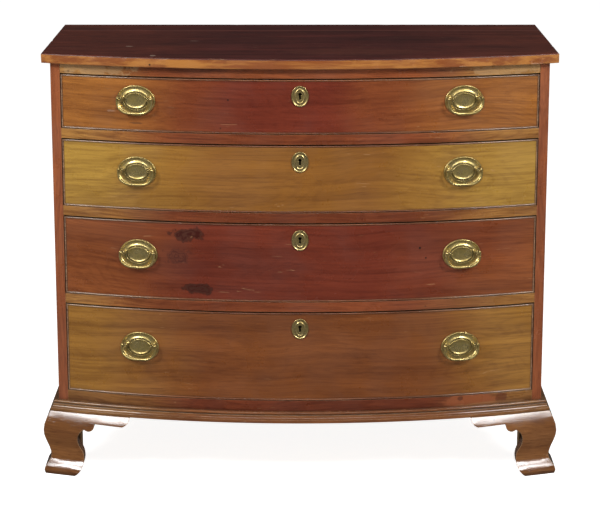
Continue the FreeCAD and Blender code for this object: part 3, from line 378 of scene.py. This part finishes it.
def makeMetal(name, finish):
    look = dict(usualMetal, **finish)
    material = bpy.data.materials.new(name)
    material.use_nodes = True
    tree = material.node_tree
    place = put(tree, "TexCoord").outputs["Object"]
    broad = remap(tree, noiseOf(tree, place, *look["broadNoise"]), *look["broadFade"])
    fine = remap(tree, noiseOf(tree, place, *look["fineNoise"]), *look["fineFade"])
    worn = useGroup(tree, edgeWear, {"Vector": place, "Radius": look["edge"], "Amount": look["polish"],
                                     "Patchiness": look["patchiness"]})
    # the hollows mask darkens grooves and hollows, partly as patina and partly as painted shade, and roughens
    # and dulls the metal there
    shadeAndDirt = useGroup(tree, shadeAndGrime, {"Distance": look["shadeAndDirtReach"], "Amount": look["shadeAndDirt"]})
    colour = mixColour(tree, broad, look["bright"], look["mid"])
    layers = [(times(tree, fine, look["speckle"]), look["dark"]), (worn["Mask"], look["bright"]),
              (shadeAndDirt["Mask"], look["dark"])]
    for mask, tone in layers:
        colour = mixColour(tree, mask, colour, tone)
    rough = remap(tree, broad, 0, 1, *look["gloss"])
    rough = maths(tree, "ADD", rough, times(tree, shadeAndDirt["Mask"], look["dirtRough"]))
    metal = minus(tree, look["metal"], times(tree, shadeAndDirt["Mask"], look["dirtDull"]))
    bump = put(tree, "Bump", {"Height": fine, "Strength": look["bump"], "Distance": look["bumpDistance"],
                              "Normal": worn["Normal"]})
    fill(tree, tree.nodes["Principled BSDF"], {"Base Color": colour, "Roughness": rough, "Metallic": metal,
                                               "Normal": bump.outputs[0]})
    return material


def shades(r, g, b, contrast=1.0):
    # lighter, middle and darker tones of one stained wood
    up, down = 1 + .45 * contrast, 1 - .12 * contrast
    return {"pale": rgb(r * up, g * up * 1.05, b * up), "mid": rgb(r * down, g * down, b * down),
            "dark": rgb(r * .35, g * .26, b * .30)}


def litEndShades(r, g, b, contrast=.6):
    # paler tones for the ends of a piece, as painted light
    tone = shades(r, g, b, contrast)
    return {"endsPale": tone["pale"], "ends": tone["mid"]}


def stainOrHighlight(at, size, strength, colour, ragged=.5, rings=0):
    # a spot of colour: a stain, mark or repair on the wood, or a painted highlight
    return {"at": at, "size": size, "strength": strength, "colour": rgb(*colour), "ragged": ragged,
            "rings": rings}


# finishes of the case, the drawers and the brasses
wornCherry = rgb(.52, .29, .13)
topWood = makeWood("topWood", dict(
    shades(.080, .0134, .0096, 1.5), **litEndShades(.128, .0262, .0136), clear=.12, worn=rgb(.46, .27, .16),
    streaks=.6, blotches=.4, curl=.1, seed=1, wear=.95, edge=.003, gloss=(.30, .50), coat=.1, holes=.9,
    rings=.15, scratches=.5,
    seam={"at": topHigh.y - .105, "outer": .0055, "inner": .002, "colour": rgb(.17, .052, .038)},
    spots=[
        stainOrHighlight((-.351, -.080, topHigh.z), (.008, .006, .01), .6, (.36, .25, .19)),
        stainOrHighlight((-.294, -.217, topHigh.z), (.006, .010, .01), .6, (.40, .29, .22)),
        stainOrHighlight((-.222, .002, topHigh.z), (.012, .005, .01), .5, (.28, .19, .15)),
        stainOrHighlight((.12, -.16, topHigh.z), (.16, .05, .01), .3, (.14, .04, .02))],
    band={"below": topHigh.z - .0022, "softOver": .0006, "softUnder": .0012, "strength": .92,
          "colour": rgb(.28, .080, .017), "worn": rgb(.50, .20, .042), "stretch": (4, 60, 60),
          "noise": (1, 5, .6), "fade": (.4, .62)}))
usualRail = {"worn": wornCherry, "seed": 3, "blotches": .15, "curl": .08, "bent": .08}
railWood = makeWood("railWood", dict(shades(.225, .054, .0175), **litEndShades(.39, .175, .043), **usualRail))
# painted highlights: pale patches at both ends of the top rail, where the lamps light it most
paintedRailHighlights = [stainOrHighlight((side * .43, -.2, railHigh.z - .008), (.095, .06, .016), .42, (.52, .34, .17), 1.3)
            for side in (-1, 1)]
topRailWood = makeWood("topRailWood", dict(
    shades(.235, .060, .019), **litEndShades(.42, .20, .055), **usualRail, spots=paintedRailHighlights))
stileWood = makeWood("stileWood", dict(
    shades(.303, .086, .0305, .8), worn=wornCherry, axis="z", seed=21, streaks=.4, blotches=.2, curl=.1))
usualFront = {"blotches": .10, "curl": .08, "streaks": .31, "pores": .28, "rings": .13, "holes": .8,
              "bent": .08, "worn": wornCherry, "wear": .35}
frontLooks = {
    1: dict(shades(.163, .0262, .0120, .7), **litEndShades(.365, .130, .0255), clear=.06, seed=5, spots=[
        stainOrHighlight((-.377, -.21, .771), (.010, .05, .0019), .5, (.36, .22, .15), 1.2),
        stainOrHighlight((-.366, -.21, .775), (.007, .05, .0022), .6, (.05, .016, .01), 1.0),
        stainOrHighlight((-.328, -.21, .748), (.014, .05, .0025), .5, (.06, .03, .02), .9)]),
    2: dict(shades(.262, .101, .0162, .7), **litEndShades(.415, .225, .040, .45), clear=.15, seed=6),
    3: dict(shades(.152, .0255, .0113, .9), **litEndShades(.25, .069, .0175), clear=.2, seed=8, holes=1, spots=[
        stainOrHighlight((-.226, -.236, .523), (.036, .05, .015), .8, (.06, .02, .012), .8, .9),
        stainOrHighlight((-.208, -.238, .411), (.034, .05, .012), .85, (.05, .019, .012), .8, .9),
        stainOrHighlight((-.25, -.236, .478), (.03, .05, .015), .4, (.08, .024, .014), 1.0, .6)]),
    4: dict(shades(.187, .0535, .0125, .7), **litEndShades(.315, .139, .0235), clear=.17, seed=9)}
frontWood = {i: makeWood(f"frontWood{i}", dict(usualFront, **frontLooks[i])) for i in drawers}
# the bead's pale edges and pale ends are partly wear and partly painted highlight, as glossy lines along the
# rounded bead
beadWood = makeWood("beadWood", dict(
    shades(.19, .068, .030), **litEndShades(.29, .17, .105), clear=.15, worn=rgb(.62, .46, .36), seed=10,
    wear=.8, edge=.0012, shadeAndDirt=.95, shadeAndDirtReach=.007, gloss=(.14, .28), coat=.8, bent=.1))
mouldWood = makeWood("mouldWood", dict(
    shades(.20, .070, .024), **litEndShades(.25, .115, .040), worn=rgb(.60, .40, .24), seed=11, wear=.9,
    edge=.002, gloss=(.14, .28), coat=.8, blotches=.2, bent=.2))
bottomRailWood = makeWood("bottomRailWood", dict(
    shades(.155, .0320, .0108), **litEndShades(.27, .115, .030), clear=.22, worn=wornCherry, seed=12,
    blotches=.2, bent=.08, spots=[
        stainOrHighlight((.349, -.21, .166), (.064, .06, .017), .8, (.31, .088, .030), .25),
        stainOrHighlight((.331, -.21, .171), (.006, .06, .006), .6, (.06, .018, .010), 1.2),
        stainOrHighlight((.418, -.19, .166), (.013, .06, .015), .6, (.12, .028, .015)),
        stainOrHighlight((.40, -.20, .157), (.09, .06, .004), .5, (.40, .20, .08))]))
# the wide reach of the hollows mask paints shade into the inner faces and hollows of the feet
footWood = makeWood("footWood", dict(
    shades(.215, .084, .0265, .8), worn=rgb(.56, .36, .20), seed=13, wear=.8, edge=.003, gloss=(.14, .27),
    coat=.9, streaks=.4, blotches=.2, shadeAndDirtReach=.02, bent=.3))
pineTones = dict(shades(.40, .24, .11), worn=rgb(.5, .36, .2), gloss=(.6, .8), coat=0.0, wear=.4,
                 streaks=.6, bump=.4)
pineWood = makeWood("pineWood", dict(pineTones, seed=14))
pineUpright = makeWood("pineUpright", dict(pineTones, seed=15, axis="z"))
pineDeep = makeWood("pineDeep", dict(pineTones, seed=16, axis="y"))
poplarTones = dict(shades(.46, .31, .16), worn=rgb(.55, .42, .26), gloss=(.55, .75), coat=0.0, wear=.4,
                   bump=.35)
poplarWood = makeWood("poplarWood", dict(poplarTones, seed=17))
poplarDeep = makeWood("poplarDeep", dict(poplarTones, seed=18, axis="y"))
brassTones = {
    "bright": rgb(.84, .66, .28), "mid": rgb(.58, .44, .15), "dark": rgb(.026, .014, .004), "speckle": .25,
    "polish": .7, "shadeAndDirtReach": .0062, "shadeAndDirt": 1.0, "gloss": (.26, .42), "metal": .83}
agedBrass = makeMetal("agedBrass", brassTones)
dullBrass = makeMetal("dullBrass", dict(brassTones, bright=rgb(.68, .52, .23), mid=rgb(.46, .34, .125)))
darkIron = makeMetal("darkIron", {
    "bright": rgb(.22, .2, .18), "mid": rgb(.09, .08, .075), "dark": rgb(.03, .02, .015), "speckle": .5,
    "polish": .5, "shadeAndDirtReach": .006, "shadeAndDirt": .7, "gloss": (.45, .65), "metal": 1.0})
print("materials built")

# pieces that keep the shape they have in the frame
plainNodes = {
    "case_side_left": stileWood, "case_side_right": stileWood, "bottom_board": pineWood,
    "top_rail_front": topRailWood, "top_rail_rear": pineWood, "bottom_rail": bottomRailWood,
    "blade_under_1": railWood, "blade_under_2": railWood, "blade_under_3": railWood,
    "back_boards": pineWood, "drawer_runners": pineDeep, "drawer_stops": pineWood,
    "foot_front_brackets": footWood, "foot_side_brackets": footWood, "foot_rear_brackets": pineWood,
    "foot_blocks": pineUpright}
for i in drawers:
    plainNodes.update({
        f"drawer_{i}_front": frontWood[i], f"drawer_{i}_sides": poplarDeep, f"drawer_{i}_back": poplarWood,
        f"drawer_{i}_bottom": poplarWood, f"drawer_{i}_lock": darkIron, f"drawer_{i}_bolt": agedBrass})
dressing = {"weld": 1e-6, "sharpAbove": 28, "evenness": 50}


def dressNode(name, material):
    # joins the facets so that curved faces shade smoothly and real edges stay sharp
    node = nodes[name]
    node.data.materials.clear()
    node.data.materials.append(material)
    node.data.polygons.foreach_set("use_smooth", [True] * len(node.data.polygons))
    weld = node.modifiers.new("weld", "WELD")
    weld.merge_threshold = dressing["weld"]
    split = node.modifiers.new("split", "EDGE_SPLIT")
    split.split_angle = math.radians(dressing["sharpAbove"])
    even = node.modifiers.new("even", "WEIGHTED_NORMAL")
    even.weight = dressing["evenness"]


for name, material in plainNodes.items():
    dressNode(name, material)
print("nodes dressed:", len(plainNodes))


def loft(bm, rings, ends="flat"):
    # a skin over closed rings, whose two ends are closed flat, left open or joined to each other
    rows = [[bm.verts.new(point) for point in ring] for ring in rings]
    pairs = list(zip(rows, rows[1:]))
    if ends == "joined":
        pairs.append((rows[-1], rows[0]))
    count = len(rows[0])
    for a, b in pairs:
        for k in range(count):
            n = (k + 1) % count
            bm.faces.new((a[k], a[n], b[n], b[k]))
    if ends == "flat":
        bm.faces.new(rows[0][::-1])
        bm.faces.new(rows[-1])


def finishPiece(name, bm, material, body, stands, angle=35):
    # edges sharper than the angle stay sharp
    bmesh.ops.remove_doubles(bm, verts=bm.verts, dist=1e-6)
    bmesh.ops.recalc_face_normals(bm, faces=bm.faces)
    mesh = bpy.data.meshes.new(name)
    bm.to_mesh(mesh)
    bm.free()
    mesh.polygons.foreach_set("use_smooth", [True] * len(mesh.polygons))
    mesh.set_sharp_from_angle(angle=math.radians(angle))
    mesh.materials.append(material)
    piece = bpy.data.objects.new(name, mesh)
    scene.collection.objects.link(piece)
    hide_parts(*stands)
    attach(piece, body)


def arc(centre, radius, begin, end, step, squash=1.0):
    # points of an arc, with angles in degrees, squashed along its first direction
    turns = [math.radians(begin + step * k) for k in range(round((end - begin) / step) + 1)]
    return [(centre[0] + radius * squash * math.cos(a), centre[1] + radius * math.sin(a)) for a in turns]


def circle(count):
    return [2 * math.pi * k / count for k in range(count)]


# the top board has rounded, nicked edges
topShape = {
    "roundTop": .0026, "roundLow": .0018, "inner": .05, "lowFlat": .02, "topFlat": .012,
    "frontSteps": 260, "sideSteps": 40, "backSteps": 60,
    "nickDepth": .0016, "nickScale": 38, "nickFlat": 2.5, "nickAbove": .28, "nickSlope": .012}


def topOutline(inset):
    # the board's outline drawn in by an inset, with the outward direction at each point
    front, sides, rear = topShape["frontSteps"], topShape["sideSteps"], topShape["backSteps"]
    reach = bowApex - topLow.y - inset   # how far the front stands before the case's bow
    half, back = topHigh.x - inset, topHigh.y - inset
    corner = bowY(half, reach)
    deep = back - corner
    points = []
    for k in range(front):
        x = half * (2 * k / front - 1)
        y = bowY(x, reach)
        points.append((x, y, Vector((x, y - bowCentre, 0)).normalized()))
    points += [(half, corner + deep * k / sides, Vector((1, 0, 0))) for k in range(sides)]
    points += [(half * (1 - 2 * k / rear), back, Vector((0, 1, 0))) for k in range(rear)]
    points += [(-half, back - deep * k / sides, Vector((-1, 0, 0))) for k in range(sides)]
    return points


def makeTop():
    look, low, high = topShape, topLow.z, topHigh.z
    above, below = look["roundTop"], look["roundLow"]
    section = [(look["inner"], low), (look["lowFlat"], low)]
    section += [(below - x, z) for x, z in arc((0, low + below), below, -90, 0, 22.5)]
    section += [(above - x, z) for x, z in arc((0, high - above), above, 0, 90, 18)]
    section += [(look["topFlat"], high), (look["inner"], high)]
    rings = []
    for inset, z in section:
        ring = []
        for x, y, outward in topOutline(inset):
            point = Vector((x, y, z))
            dent = noise.noise(Vector((x, y, z * look["nickFlat"])) * look["nickScale"]) - look["nickAbove"]
            if inset < look["topFlat"] and dent > 0:
                point -= outward * min(look["nickDepth"], dent * look["nickSlope"])
            ring.append(point)
        rings.append(ring)
    bm = bmesh.new()
    loft(bm, rings)
    finishPiece("topBoard", bm, topWood, "case", ("top_board",))


makeTop()
print("top board done")

# the base moulding has a fascia, a cove, a quirk and a bead
mouldShape = {
    "fascia": .007, "cove": .006, "bead": .0055, "quirk": .001, "setBack": .003, "bulge": .36, "ease": .001,
    "inner": .0001, "frontSteps": 150, "sideSteps": 20,
    # first and last angle of the hollow and of the bead, in degrees, and the step between points
    "coveTurns": (-98, -179, -9), "beadTurns": (-75, 75, 15)}


def mouldSection():
    # points of the section, each a distance out from the case and a height
    look = mouldShape
    low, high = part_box("moulding_front")
    reach, cove, ease = bowApex - low.y, look["cove"], look["ease"]
    fasciaTop, beadLow = low.z + look["fascia"], high.z - look["bead"]
    step = reach - cove
    beadOut = step - look["setBack"]
    middle, half = (high.z + beadLow) / 2, look["bead"] / 2
    section = [(look["inner"], low.z), (reach - ease, low.z), (reach - .3 * ease, low.z + .3 * ease),
               (reach, low.z + ease), (reach, fasciaTop - .8 * ease), (reach - .4 * ease, fasciaTop)]
    section += arc((reach, fasciaTop + cove), cove, *look["coveTurns"])
    section += [(step, beadLow - look["quirk"]), (beadOut, beadLow - look["quirk"]), (beadOut, beadLow)]
    section += arc((beadOut, middle), half, *look["beadTurns"], 2 * look["bulge"])
    section += [(beadOut, high.z), (look["inner"], high.z)]
    return section


def makeMoulding():
    section = mouldSection()
    front, sides = mouldShape["frontSteps"], mouldShape["sideSteps"]
    bm = bmesh.new()
    rings = []
    for k in range(front + 1):
        share = 2 * k / front - 1
        rings.append([Vector((share * (caseHalf + out), bowY(share * (caseHalf + out), out), z))
                      for out, z in section])
    loft(bm, rings)
    finishPiece("mouldingFront", bm, mouldWood, "case", ("moulding_front",))
    for side, flip in (("Left", -1), ("Right", 1)):
        bm = bmesh.new()
        rings = []
        for k in range(sides + 1):
            ring = []
            for out, z in section:
                start = bowY(caseHalf + out, out)
                ring.append(Vector((flip * (caseHalf + out), start + (caseBack - start) * k / sides, z)))
            rings.append(ring)
        loft(bm, rings)
        finishPiece("moulding" + side, bm, mouldWood, "case", ("moulding_" + side.lower(),))


makeMoulding()
print("moulding done")

# a cockbead is a half-round strip, mitred round each front
beadShape = {"width": .003, "reach": .002, "depth": .0048, "across": 110, "up": 10}


def makeCockbead(i):
    look = beadShape
    low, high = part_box(f"drawer_{i}_front")
    radius = look["width"] / 2
    shank = look["reach"] - radius
    # distance in from the front's edge and out from its face
    section = [(0.0, -look["depth"]), (0.0, shank)]
    section += arc((radius, shank), radius, 165, 15, -15)
    section += [(look["width"], shank), (look["width"], -look["depth"])]
    across, up = look["across"], look["up"]
    route = [(2 * k / across - 1, -1) for k in range(across)]
    route += [(1, 2 * k / up - 1) for k in range(up)]
    route += [(1 - 2 * k / across, 1) for k in range(across)]
    route += [(-1, 1 - 2 * k / up) for k in range(up)]
    middle, tall = (high.z + low.z) / 2, (high.z - low.z) / 2
    rings = []
    for shareX, shareZ in route:
        ring = []
        for inset, out in section:
            x = shareX * (high.x - inset)
            ring.append(Vector((x, bowY(x, out), middle + shareZ * (tall - inset))))
        rings.append(ring)
    bm = bmesh.new()
    loft(bm, rings, "joined")
    finishPiece(f"cockbead{i}", bm, beadWood, f"drawer_{i}", (f"drawer_{i}_cockbead",), 50)


for i in drawers:
    makeCockbead(i)
print("cockbeads done")

# a pull: an oval plate, two posts and a bail that swings between them
pullShape = {
    "width": .080, "height": .062, "reach": .0125, "spacing": .055, "drop": .006, "ovalSteps": 96,
    "postSteps": 32, "rodSteps": 20, "pathSteps": 6, "thinnest": .0009,
    # inset from the edge and height over the drawer's face
    "plate": [
        (0, 0), (0, .0012), (.0003, .0021), (.0009, .0027), (.0016, .0028), (.0023, .0025), (.0028, .0017),
        (.0033, .0010), (.0045, .0007), (.0065, .0006), (.0090, .0008), (.0112, .0014), (.0127, .0021),
        (.0134, .0025), (.0139, .0025), (.0143, .0016), (.0146, .0004), (.0168, .0004), (.0171, .0020),
        (.0177, .0031), (.0184, .0033), (.0191, .0030), (.0200, .0025), (.0215, .0021), (.0240, .0018),
        (.0290, .0016)],
    # distance out from the face and radius
    "post": [
        (.0008, .0044), (.0018, .0047), (.0026, .0042), (.0031, .0030), (.0045, .0024), (.0066, .0023),
        (.0078, .0029), (.0086, .0037), (.0100, .0042), (.0118, .0044), (.0144, .0044), (.0160, .0041),
        (.0165, .0036), (.0160, .0031), (.0146, .0028), (.0146, .0021), (.0160, .0019), (.0167, .0013),
        (.0169, .0006)],
    # half of the bail from its pin to the middle, past the knob: across, up and radius
    "bail": [
        (.0240, 0, .0012), (.0318, 0, .0012), (.0322, -.0001, .002664), (.0336, -.0006, .0037),
        (.0352, -.0016, .003515), (.0361, -.0034, .0021), (.0362, -.0062, .001932), (.0358, -.0120, .0021),
        (.0338, -.0185, .00231), (.0292, -.0242, .002565), (.0215, -.0286, .0027), (.0110, -.0305, .0027)]}


def pullMatrix(body):
    # local x along the face, y up, z outwards, with its origin on the drawer's face behind the pins
    joint = hinges[body]
    pivot, axis = Vector(joint["pos_m"]), Vector(joint["axis"]).normalized()
    right, up = -axis, Vector((0, 0, 1))
    outward = right.cross(up)
    turn = Matrix((right, up, outward)).transposed().to_4x4()
    return Matrix.Translation(pivot - outward * pullShape["reach"]) @ turn


def ovalRing(width, height, inset, z, count):
    # inner ovals stay a little taller
    a, b = width / 2 - inset, height / 2 - inset * (1 - .12 * min(1, inset / .012))
    return [Vector((a * math.cos(t), b * math.sin(t), z)) for t in circle(count)]


def sweepTube(bm, points, radii, sides):
    # a round rod along a flat path, its radius given at each point
    rings = []
    for k, point in enumerate(points):
        along = (points[min(k + 1, len(points) - 1)] - points[max(k - 1, 0)]).normalized()
        across, outward = Vector((-along.y, along.x, 0)), Vector((0, 0, 1))
        rings.append([point + across * (radii[k] * math.cos(t)) + outward * (radii[k] * math.sin(t))
                      for t in circle(sides)])
    loft(bm, rings)


def smoothPath(points, steps):
    # a Catmull-Rom curve through the given points, with every value after the first carried along
    path = []
    for k in range(len(points) - 1):
        a, b, c, d = (points[max(0, min(len(points) - 1, k + n))] for n in (-1, 0, 1, 2))
        for t in [n / steps for n in range(steps)]:
            path.append([.5 * (2 * q + (r - p) * t + (2 * p - 5 * q + 4 * r - s) * t * t
                               + (3 * q - p - 3 * r + s) * t ** 3) for p, q, r, s in zip(a, b, c, d)])
    path.append(list(points[-1]))
    return path


def makePlate(i, side, place):
    look = pullShape
    down = Vector((0, look["drop"], 0))
    rings = [[place @ (point - down)
              for point in ovalRing(look["width"], look["height"], inset, z, look["ovalSteps"])]
             for inset, z in look["plate"]]
    bm = bmesh.new()
    loft(bm, rings)
    finishPiece(f"pullPlate{i}{side}", bm, agedBrass, f"drawer_{i}", (f"drawer_{i}_brasses",), 60)


def makePost(i, side, place, end, flip):
    look = pullShape
    rings = []
    for out, radius in look["post"]:
        centre = Vector((flip * look["spacing"] / 2, 0, out))
        rings.append([place @ (centre + Vector((radius * math.cos(t), radius * math.sin(t), 0)))
                      for t in circle(look["postSteps"])])
    bm = bmesh.new()
    loft(bm, rings)
    finishPiece(f"post{i}{side}{end}", bm, agedBrass, f"drawer_{i}", (f"drawer_{i}_brasses",), 50)


def makeBail(i, side, place, body):
    look = pullShape
    half = look["bail"]
    whole = [(-x, y, radius) for x, y, radius in half] + half[::-1]
    route = smoothPath(whole, look["pathSteps"])
    points = [Vector((x, y, 0)) for x, y, radius in route]
    bm = bmesh.new()
    sweepTube(bm, points, [max(radius, look["thinnest"]) for x, y, radius in route], look["rodSteps"])
    outward = Matrix.Translation(Vector((0, 0, look["reach"])))
    bmesh.ops.transform(bm, matrix=place @ outward, verts=bm.verts)
    finishPiece(f"bail{i}{side}", bm, agedBrass, body, (body,), 60)


def makePull(i, side):
    body = f"drawer_{i}_bail_{side}"
    place = pullMatrix(body)
    makePlate(i, side, place)
    makePost(i, side, place, "A", -1)
    makePost(i, side, place, "B", 1)
    makeBail(i, side, place, body)


# an escutcheon is an oval plate with a keyhole through it
plateShape = {
    "width": .0345, "height": .0425, "keyRadius": .0034, "keySlot": .0018, "keyDrop": .0104, "above": .004,
    "keyBelowLock": .0288, "steps": 72, "traceStep": .00006, "traceCount": 260, "collar": (.0018, -.0015),
    # inset from the edge and height over the drawer's face
    "rings": [
        (0, 0), (0, .0012), (.0004, .0022), (.0011, .0026), (.0018, .0024), (.0024, .0016), (.0040, .0012),
        (.0062, .0013), (.0074, .0020), (.0081, .0025), (.0088, .0023), (.0094, .0018), (.0120, .0018)]}


def keyOutline():
    # the keyhole's outline about the plate's middle: a round head and a slot below it
    look = plateShape
    outline = []
    for turn in circle(look["steps"]):
        c, s = math.cos(turn), math.sin(turn)
        edge = 0.0
        for n in range(1, look["traceCount"]):
            reach = n * look["traceStep"]
            x, z = reach * c, reach * s - look["above"]   # from the head's centre
            inHead = x * x + z * z <= look["keyRadius"] ** 2
            inSlot = abs(x) <= look["keySlot"] and -look["keyDrop"] <= z <= 0
            if inHead or inSlot:
                edge = reach
        outline.append((edge * c, edge * s))
    return outline


def makeEscutcheon(i):
    look = plateShape
    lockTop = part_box(f"drawer_{i}_lock")[1].z
    middle = lockTop - look["keyBelowLock"] - look["above"]
    rings = []
    for inset, out in look["rings"]:
        ring = ovalRing(look["width"], look["height"], inset, 0, look["steps"])
        rings.append([Vector((p.x, bowApex - out, middle + p.y)) for p in ring])
    # the last rings are drawn in to the keyhole, as a collar that runs in
    outline = keyOutline()
    rings += [[Vector((x, bowApex - out, middle + z)) for x, z in outline] for out in look["collar"]]
    bm = bmesh.new()
    loft(bm, rings, "open")
    finishPiece(f"escutcheon{i}", bm, dullBrass, f"drawer_{i}", (f"drawer_{i}_brasses",), 55)


for i in drawers:
    for side in ("left", "right"):
        makePull(i, side)
    makeEscutcheon(i)
print("brasses done")

# floor and surroundings: glow and backdrop brighten only what the camera sees behind the chest
stageLook = {
    "tones": (rgb(.86, .86, .85), rgb(.93, .93, .925)), "roughness": .9, "glow": .89, "size": 26.0,
    "below": .0004, "sky": .12, "mirroredSky": .035, "backdrop": 1.0}


def makeFloor():
    look = stageLook
    size = look["size"]
    bm = bmesh.new()
    corners = ((-1, -1), (1, -1), (1, 1), (-1, 1))
    bm.faces.new([bm.verts.new((x * size, y * size, -look["below"])) for x, y in corners])
    mesh = bpy.data.meshes.new("floor")
    bm.to_mesh(mesh)
    bm.free()
    material = bpy.data.materials.new("floorPaper")
    material.use_nodes = True
    tree = material.node_tree
    shader = tree.nodes["Principled BSDF"]
    place = put(tree, "TexCoord").outputs["Object"]
    tone = mixColour(tree, noiseOf(tree, place, 3, 3, .5), *look["tones"])
    fill(tree, shader, {"Base Color": tone, "Roughness": look["roughness"]})
    glow = put(tree, "Emission", {"Color": rgb(1, 1, 1), "Strength": look["glow"]})
    lifted = put(tree, "AddShader", {0: shader.outputs[0], 1: glow.outputs[0]})
    seen = put(tree, "LightPath").outputs["Is Camera Ray"]
    choice = put(tree, "MixShader", {0: seen, 1: shader.outputs[0], 2: lifted.outputs[0]})
    tree.links.new(choice.outputs[0], tree.nodes["Material Output"].inputs["Surface"])
    mesh.materials.append(material)
    floor = bpy.data.objects.new("floor", mesh)
    floor.visible_glossy = False
    scene.collection.objects.link(floor)


def makeWorld():
    look = stageLook
    world = bpy.data.worlds.new("studio")
    world.use_nodes = True
    tree = world.node_tree
    sky = tree.nodes["Background"]
    fill(tree, sky, {"Color": rgb(1, 1, 1), "Strength": look["sky"]})
    mirrored = put(tree, "Background", {"Color": rgb(1, 1, 1), "Strength": look["mirroredSky"]})
    backdrop = put(tree, "Background", {"Color": rgb(1, 1, 1), "Strength": look["backdrop"]})
    path = put(tree, "LightPath").outputs
    around = put(tree, "MixShader", {0: path["Is Glossy Ray"], 1: sky.outputs[0], 2: mirrored.outputs[0]})
    choice = put(tree, "MixShader", {0: path["Is Camera Ray"], 1: around.outputs[0], 2: backdrop.outputs[0]})
    tree.links.new(choice.outputs[0], tree.nodes["World Output"].inputs["Surface"])
    scene.world = world


# the lamps by name
lampLooks = {
    "keyLeft": {"place": (-2.85, -2.85, 3.0), "aim": (-.2, 0, .3), "size": (1.3, .95), "watts": 94},
    "keyRight": {"place": (2.85, -2.85, 3.0), "aim": (.2, 0, .3), "size": (1.3, .95), "watts": 94},
    "softFront": {"place": (0, -3.3, 3.1), "aim": (0, 0, .3), "size": (2.6, .7), "watts": 32},
    "overhead": {"place": (0, .3, 3.4), "aim": (0, 0, .4), "size": (2.6, 1.6), "watts": 10}}


def makeLamp(name, look):
    light = bpy.data.lights.new(name, "AREA")
    light.shape = "RECTANGLE"
    light.size, light.size_y = look["size"]
    light.energy = look["watts"]
    lamp = bpy.data.objects.new(name, light)
    lamp.location = look["place"]
    lamp.rotation_euler = (Vector(look["aim"]) - Vector(look["place"])).to_track_quat("-Z", "Y").to_euler()
    scene.collection.objects.link(lamp)


cameraLook = {"place": (0, -4.49, 1.4875), "pitch": 13.5, "lens": 129.5, "sensor": 36.0}


def makeCamera():
    camera = bpy.data.cameras.new("camera")
    camera.lens = cameraLook["lens"]
    camera.sensor_width = cameraLook["sensor"]
    viewer = bpy.data.objects.new("camera", camera)
    viewer.location = cameraLook["place"]
    viewer.rotation_euler = (math.radians(90 - cameraLook["pitch"]), 0, 0)
    scene.collection.objects.link(viewer)
    scene.camera = viewer


makeFloor()
for name, look in lampLooks.items():
    makeLamp(name, look)
makeWorld()
makeCamera()
scene.view_settings.view_transform = "Standard"
print("stage ready")
